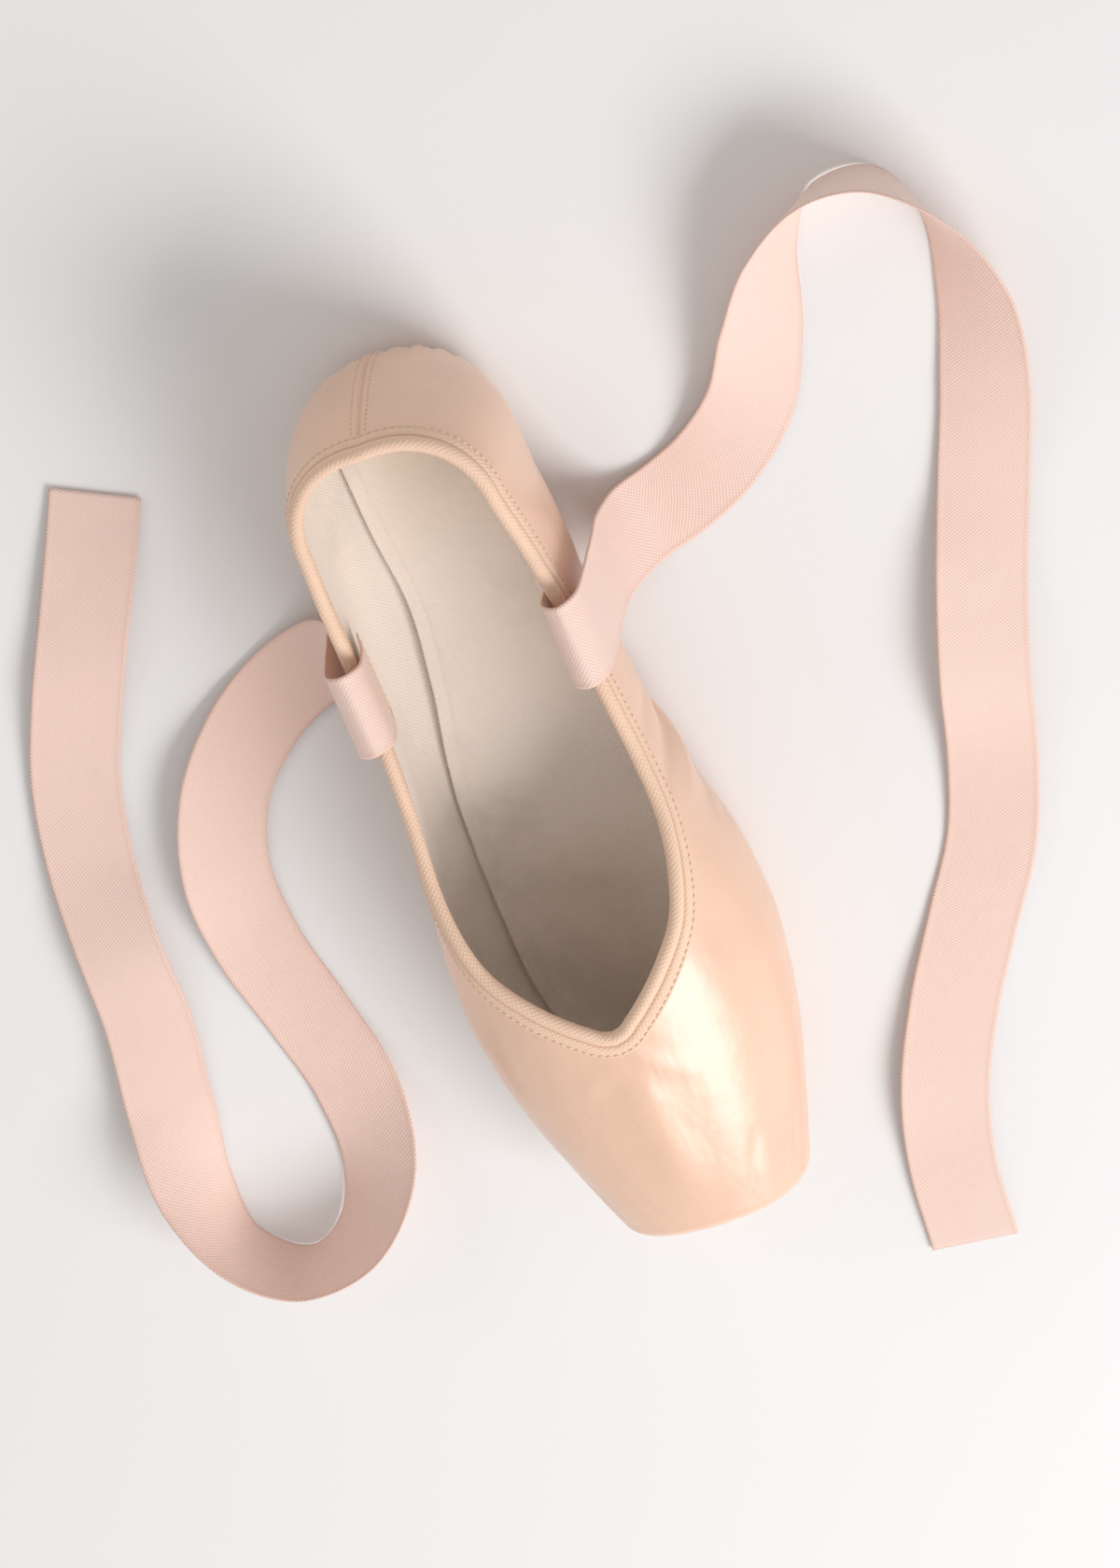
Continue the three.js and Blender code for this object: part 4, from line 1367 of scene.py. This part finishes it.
def shank_dots():
    """Middles of the dots of the ring and the lozenges."""
    ring = DOT_RING
    turns = np.arange(ring["dots"]) * 2 * math.pi / ring["dots"]
    dots = [(ring["place"] + ring["along"] * math.cos(turn), ring["across"] * math.sin(turn)) for turn in turns]
    for lozenge in LOZENGES:
        reach, count = lozenge["reach"], lozenge["dots"]
        corners = [(reach, 0), (0, reach), (-reach, 0), (0, -reach), (reach, 0)]
        for offset in lozenge["offsets"]:
            for (x0, y0), (x1, y1) in zip(corners, corners[1:]):
                for share in np.arange(count) / count:
                    dots.append((lozenge["place"] + x0 + (x1 - x0) * share, offset + y0 + (y1 - y0) * share))
    return dots


def dot_mask(x, y):
    """1 in the middle of each pressed dot."""
    mask = np.zeros(x.shape)
    for dot_x, dot_y in shank_dots():
        mask = np.maximum(mask, bell(x, dot_x, DOT_WIDE) * bell(y, dot_y, DOT_WIDE))
    return mask


def place_between_ends(share):
    """Places along the sole, close together at its heel and tip."""
    start = SOLE_END * 0.5 * (1 - np.cos(math.pi * share))
    return 0.35 * start + 0.65 * SOLE_END * share


def sole_outline(place):
    """Half width of the outsole at a place, and the start and direction that it is measured along."""
    fan = place < HEEL_CENTRE
    angle = np.where(fan, heel_angle(place), RIGHT_ANGLE)
    return sole_half(place, 0), np.where(fan, HEEL_CENTRE, place), np.cos(angle), np.sin(angle)


class SHOE_OT_outsole(bpy.types.Operator):
    """Leather outsole with a pressed lattice under the ball and dots on the shank."""

    bl_idname = "pointe_shoe.outsole"
    bl_label = "Outsole"

    def execute(self, context):
        def sole(s, t, side):
            half, centre, ahead, aside = sole_outline(place_between_ends(s))
            flat = np.clip(t / UNDER_END, 0, 1)
            turn = np.clip((t - UNDER_END) / (ROUND_END - UNDER_END), 0, 1) * RIGHT_ANGLE
            wall = np.clip((t - ROUND_END) / (SIDE_END - ROUND_END), 0, 1)
            back = np.clip((t - SIDE_END) / (1 - SIDE_END), 0, 1)
            reach = (half - SOLE_EDGE_ROUND) * flat + SOLE_EDGE_ROUND * np.sin(turn)
            reach = np.where(half < SOLE_EDGE_ROUND, half * np.minimum(flat + turn, 1), reach) * (1 - back)
            lift = SOLE_EDGE_ROUND * (1 - np.cos(turn)) + (SOLE_THICK - SOLE_EDGE_ROUND) * wall
            x, y = centre + ahead * reach, side * aside * reach
            under = t <= UNDER_END
            inside = smooth_step(half - reach, 0.8, 2.2) * under
            groove, dots = groove_mask(x, y) * inside, dot_mask(x, y) * inside
            worn = (0.05 * np.sin(x / 11) * np.cos(y / 7) + 0.05) * under
            z = sole_line(centre) + lift + GROOVE_DEEP * groove + DOT_DEEP * dots + worn
            edge = 1 - smooth_step(half - reach, 0.3, 1.6)
            return np.stack([x, y, z], axis=1), (np.maximum(groove, 0.8 * dots), np.maximum(edge, ~under))

        mesh = both_sides("outsole_leather", *SOLE_GRID, sole, ("groove", "edge"))
        add_piece(mesh, leather_material(), ["outsole"])
        return {"FINISHED"}


class SHOE_OT_sock(bpy.types.Operator):
    """Cotton sock over the insole board, softly dished and worn where the foot stands."""

    bl_idname = "pointe_shoe.sock"
    bl_label = "Sock"

    def execute(self, context):
        top = SOLE_THICK + GAP + WALL + GAP + INSOLE_THICK

        def sock(s, t, side):
            half, centre, ahead, aside = sole_outline(place_between_ends(s))
            half = np.where(s > 0.999, 0, half + 2.0)
            reach = half * np.minimum(t / 0.92, 1)
            x, y = centre + ahead * reach, side * aside * reach
            dish = 0.5 * (y / np.maximum(half, 1)) ** 2
            stitched = 0.35 * bell(half - reach, 3, 0.5)
            tucked = 1.4 * smooth_step(t, 0.92, 1.0)
            worn = bell(x, 26, 17) * bell(y, 0, 15) + bell(x, 160, 26) * bell(y, 0, 21)
            z = sole_line(centre) + top + dish - stitched - tucked - 0.4 * worn
            return np.stack([x, y, z], axis=1), (np.clip(worn, 0, 1),)

        mesh = both_sides("sock_cloth", *SOCK_GRID, sock, ("worn",), flip=True)
        add_piece(mesh, sock_material(), ["insole"])
        return {"FINISHED"}


# ---------------------------------------------------------------- panel and running order

OPERATORS = (
    SHOE_OT_stage, SHOE_OT_ribbons, SHOE_OT_ribbon_stitches, SHOE_OT_upper, SHOE_OT_lining,
    SHOE_OT_binding, SHOE_OT_seams, SHOE_OT_outsole, SHOE_OT_sock,
)


class SHOE_PT_panel(bpy.types.Panel):
    """Lists the shoe's pieces."""

    bl_label = "Pointe Shoe"
    bl_space_type = "VIEW_3D"
    bl_region_type = "UI"
    bl_category = "Pointe Shoe"

    def draw(self, context):
        for group in (context.scene.shoe_sizes, context.scene.shoe_colours):
            for name in group.__annotations__:
                self.layout.prop(group, name)
        for operator in OPERATORS:
            self.layout.operator(operator.bl_idname)


CLASSES = (ShoeSizes, ShoeColours, *OPERATORS, SHOE_PT_panel)


def register():
    for cls in CLASSES:
        bpy.utils.register_class(cls)
    bpy.types.Scene.shoe_sizes = bpy.props.PointerProperty(type=ShoeSizes)
    bpy.types.Scene.shoe_colours = bpy.props.PointerProperty(type=ShoeColours)


def unregister():
    del bpy.types.Scene.shoe_sizes
    del bpy.types.Scene.shoe_colours
    for cls in reversed(CLASSES):
        bpy.utils.unregister_class(cls)


def main():
    register()
    for operator in OPERATORS:
        group, action = operator.bl_idname.split(".")
        getattr(getattr(bpy.ops, group), action)()


if __name__ == "__main__":
    main()
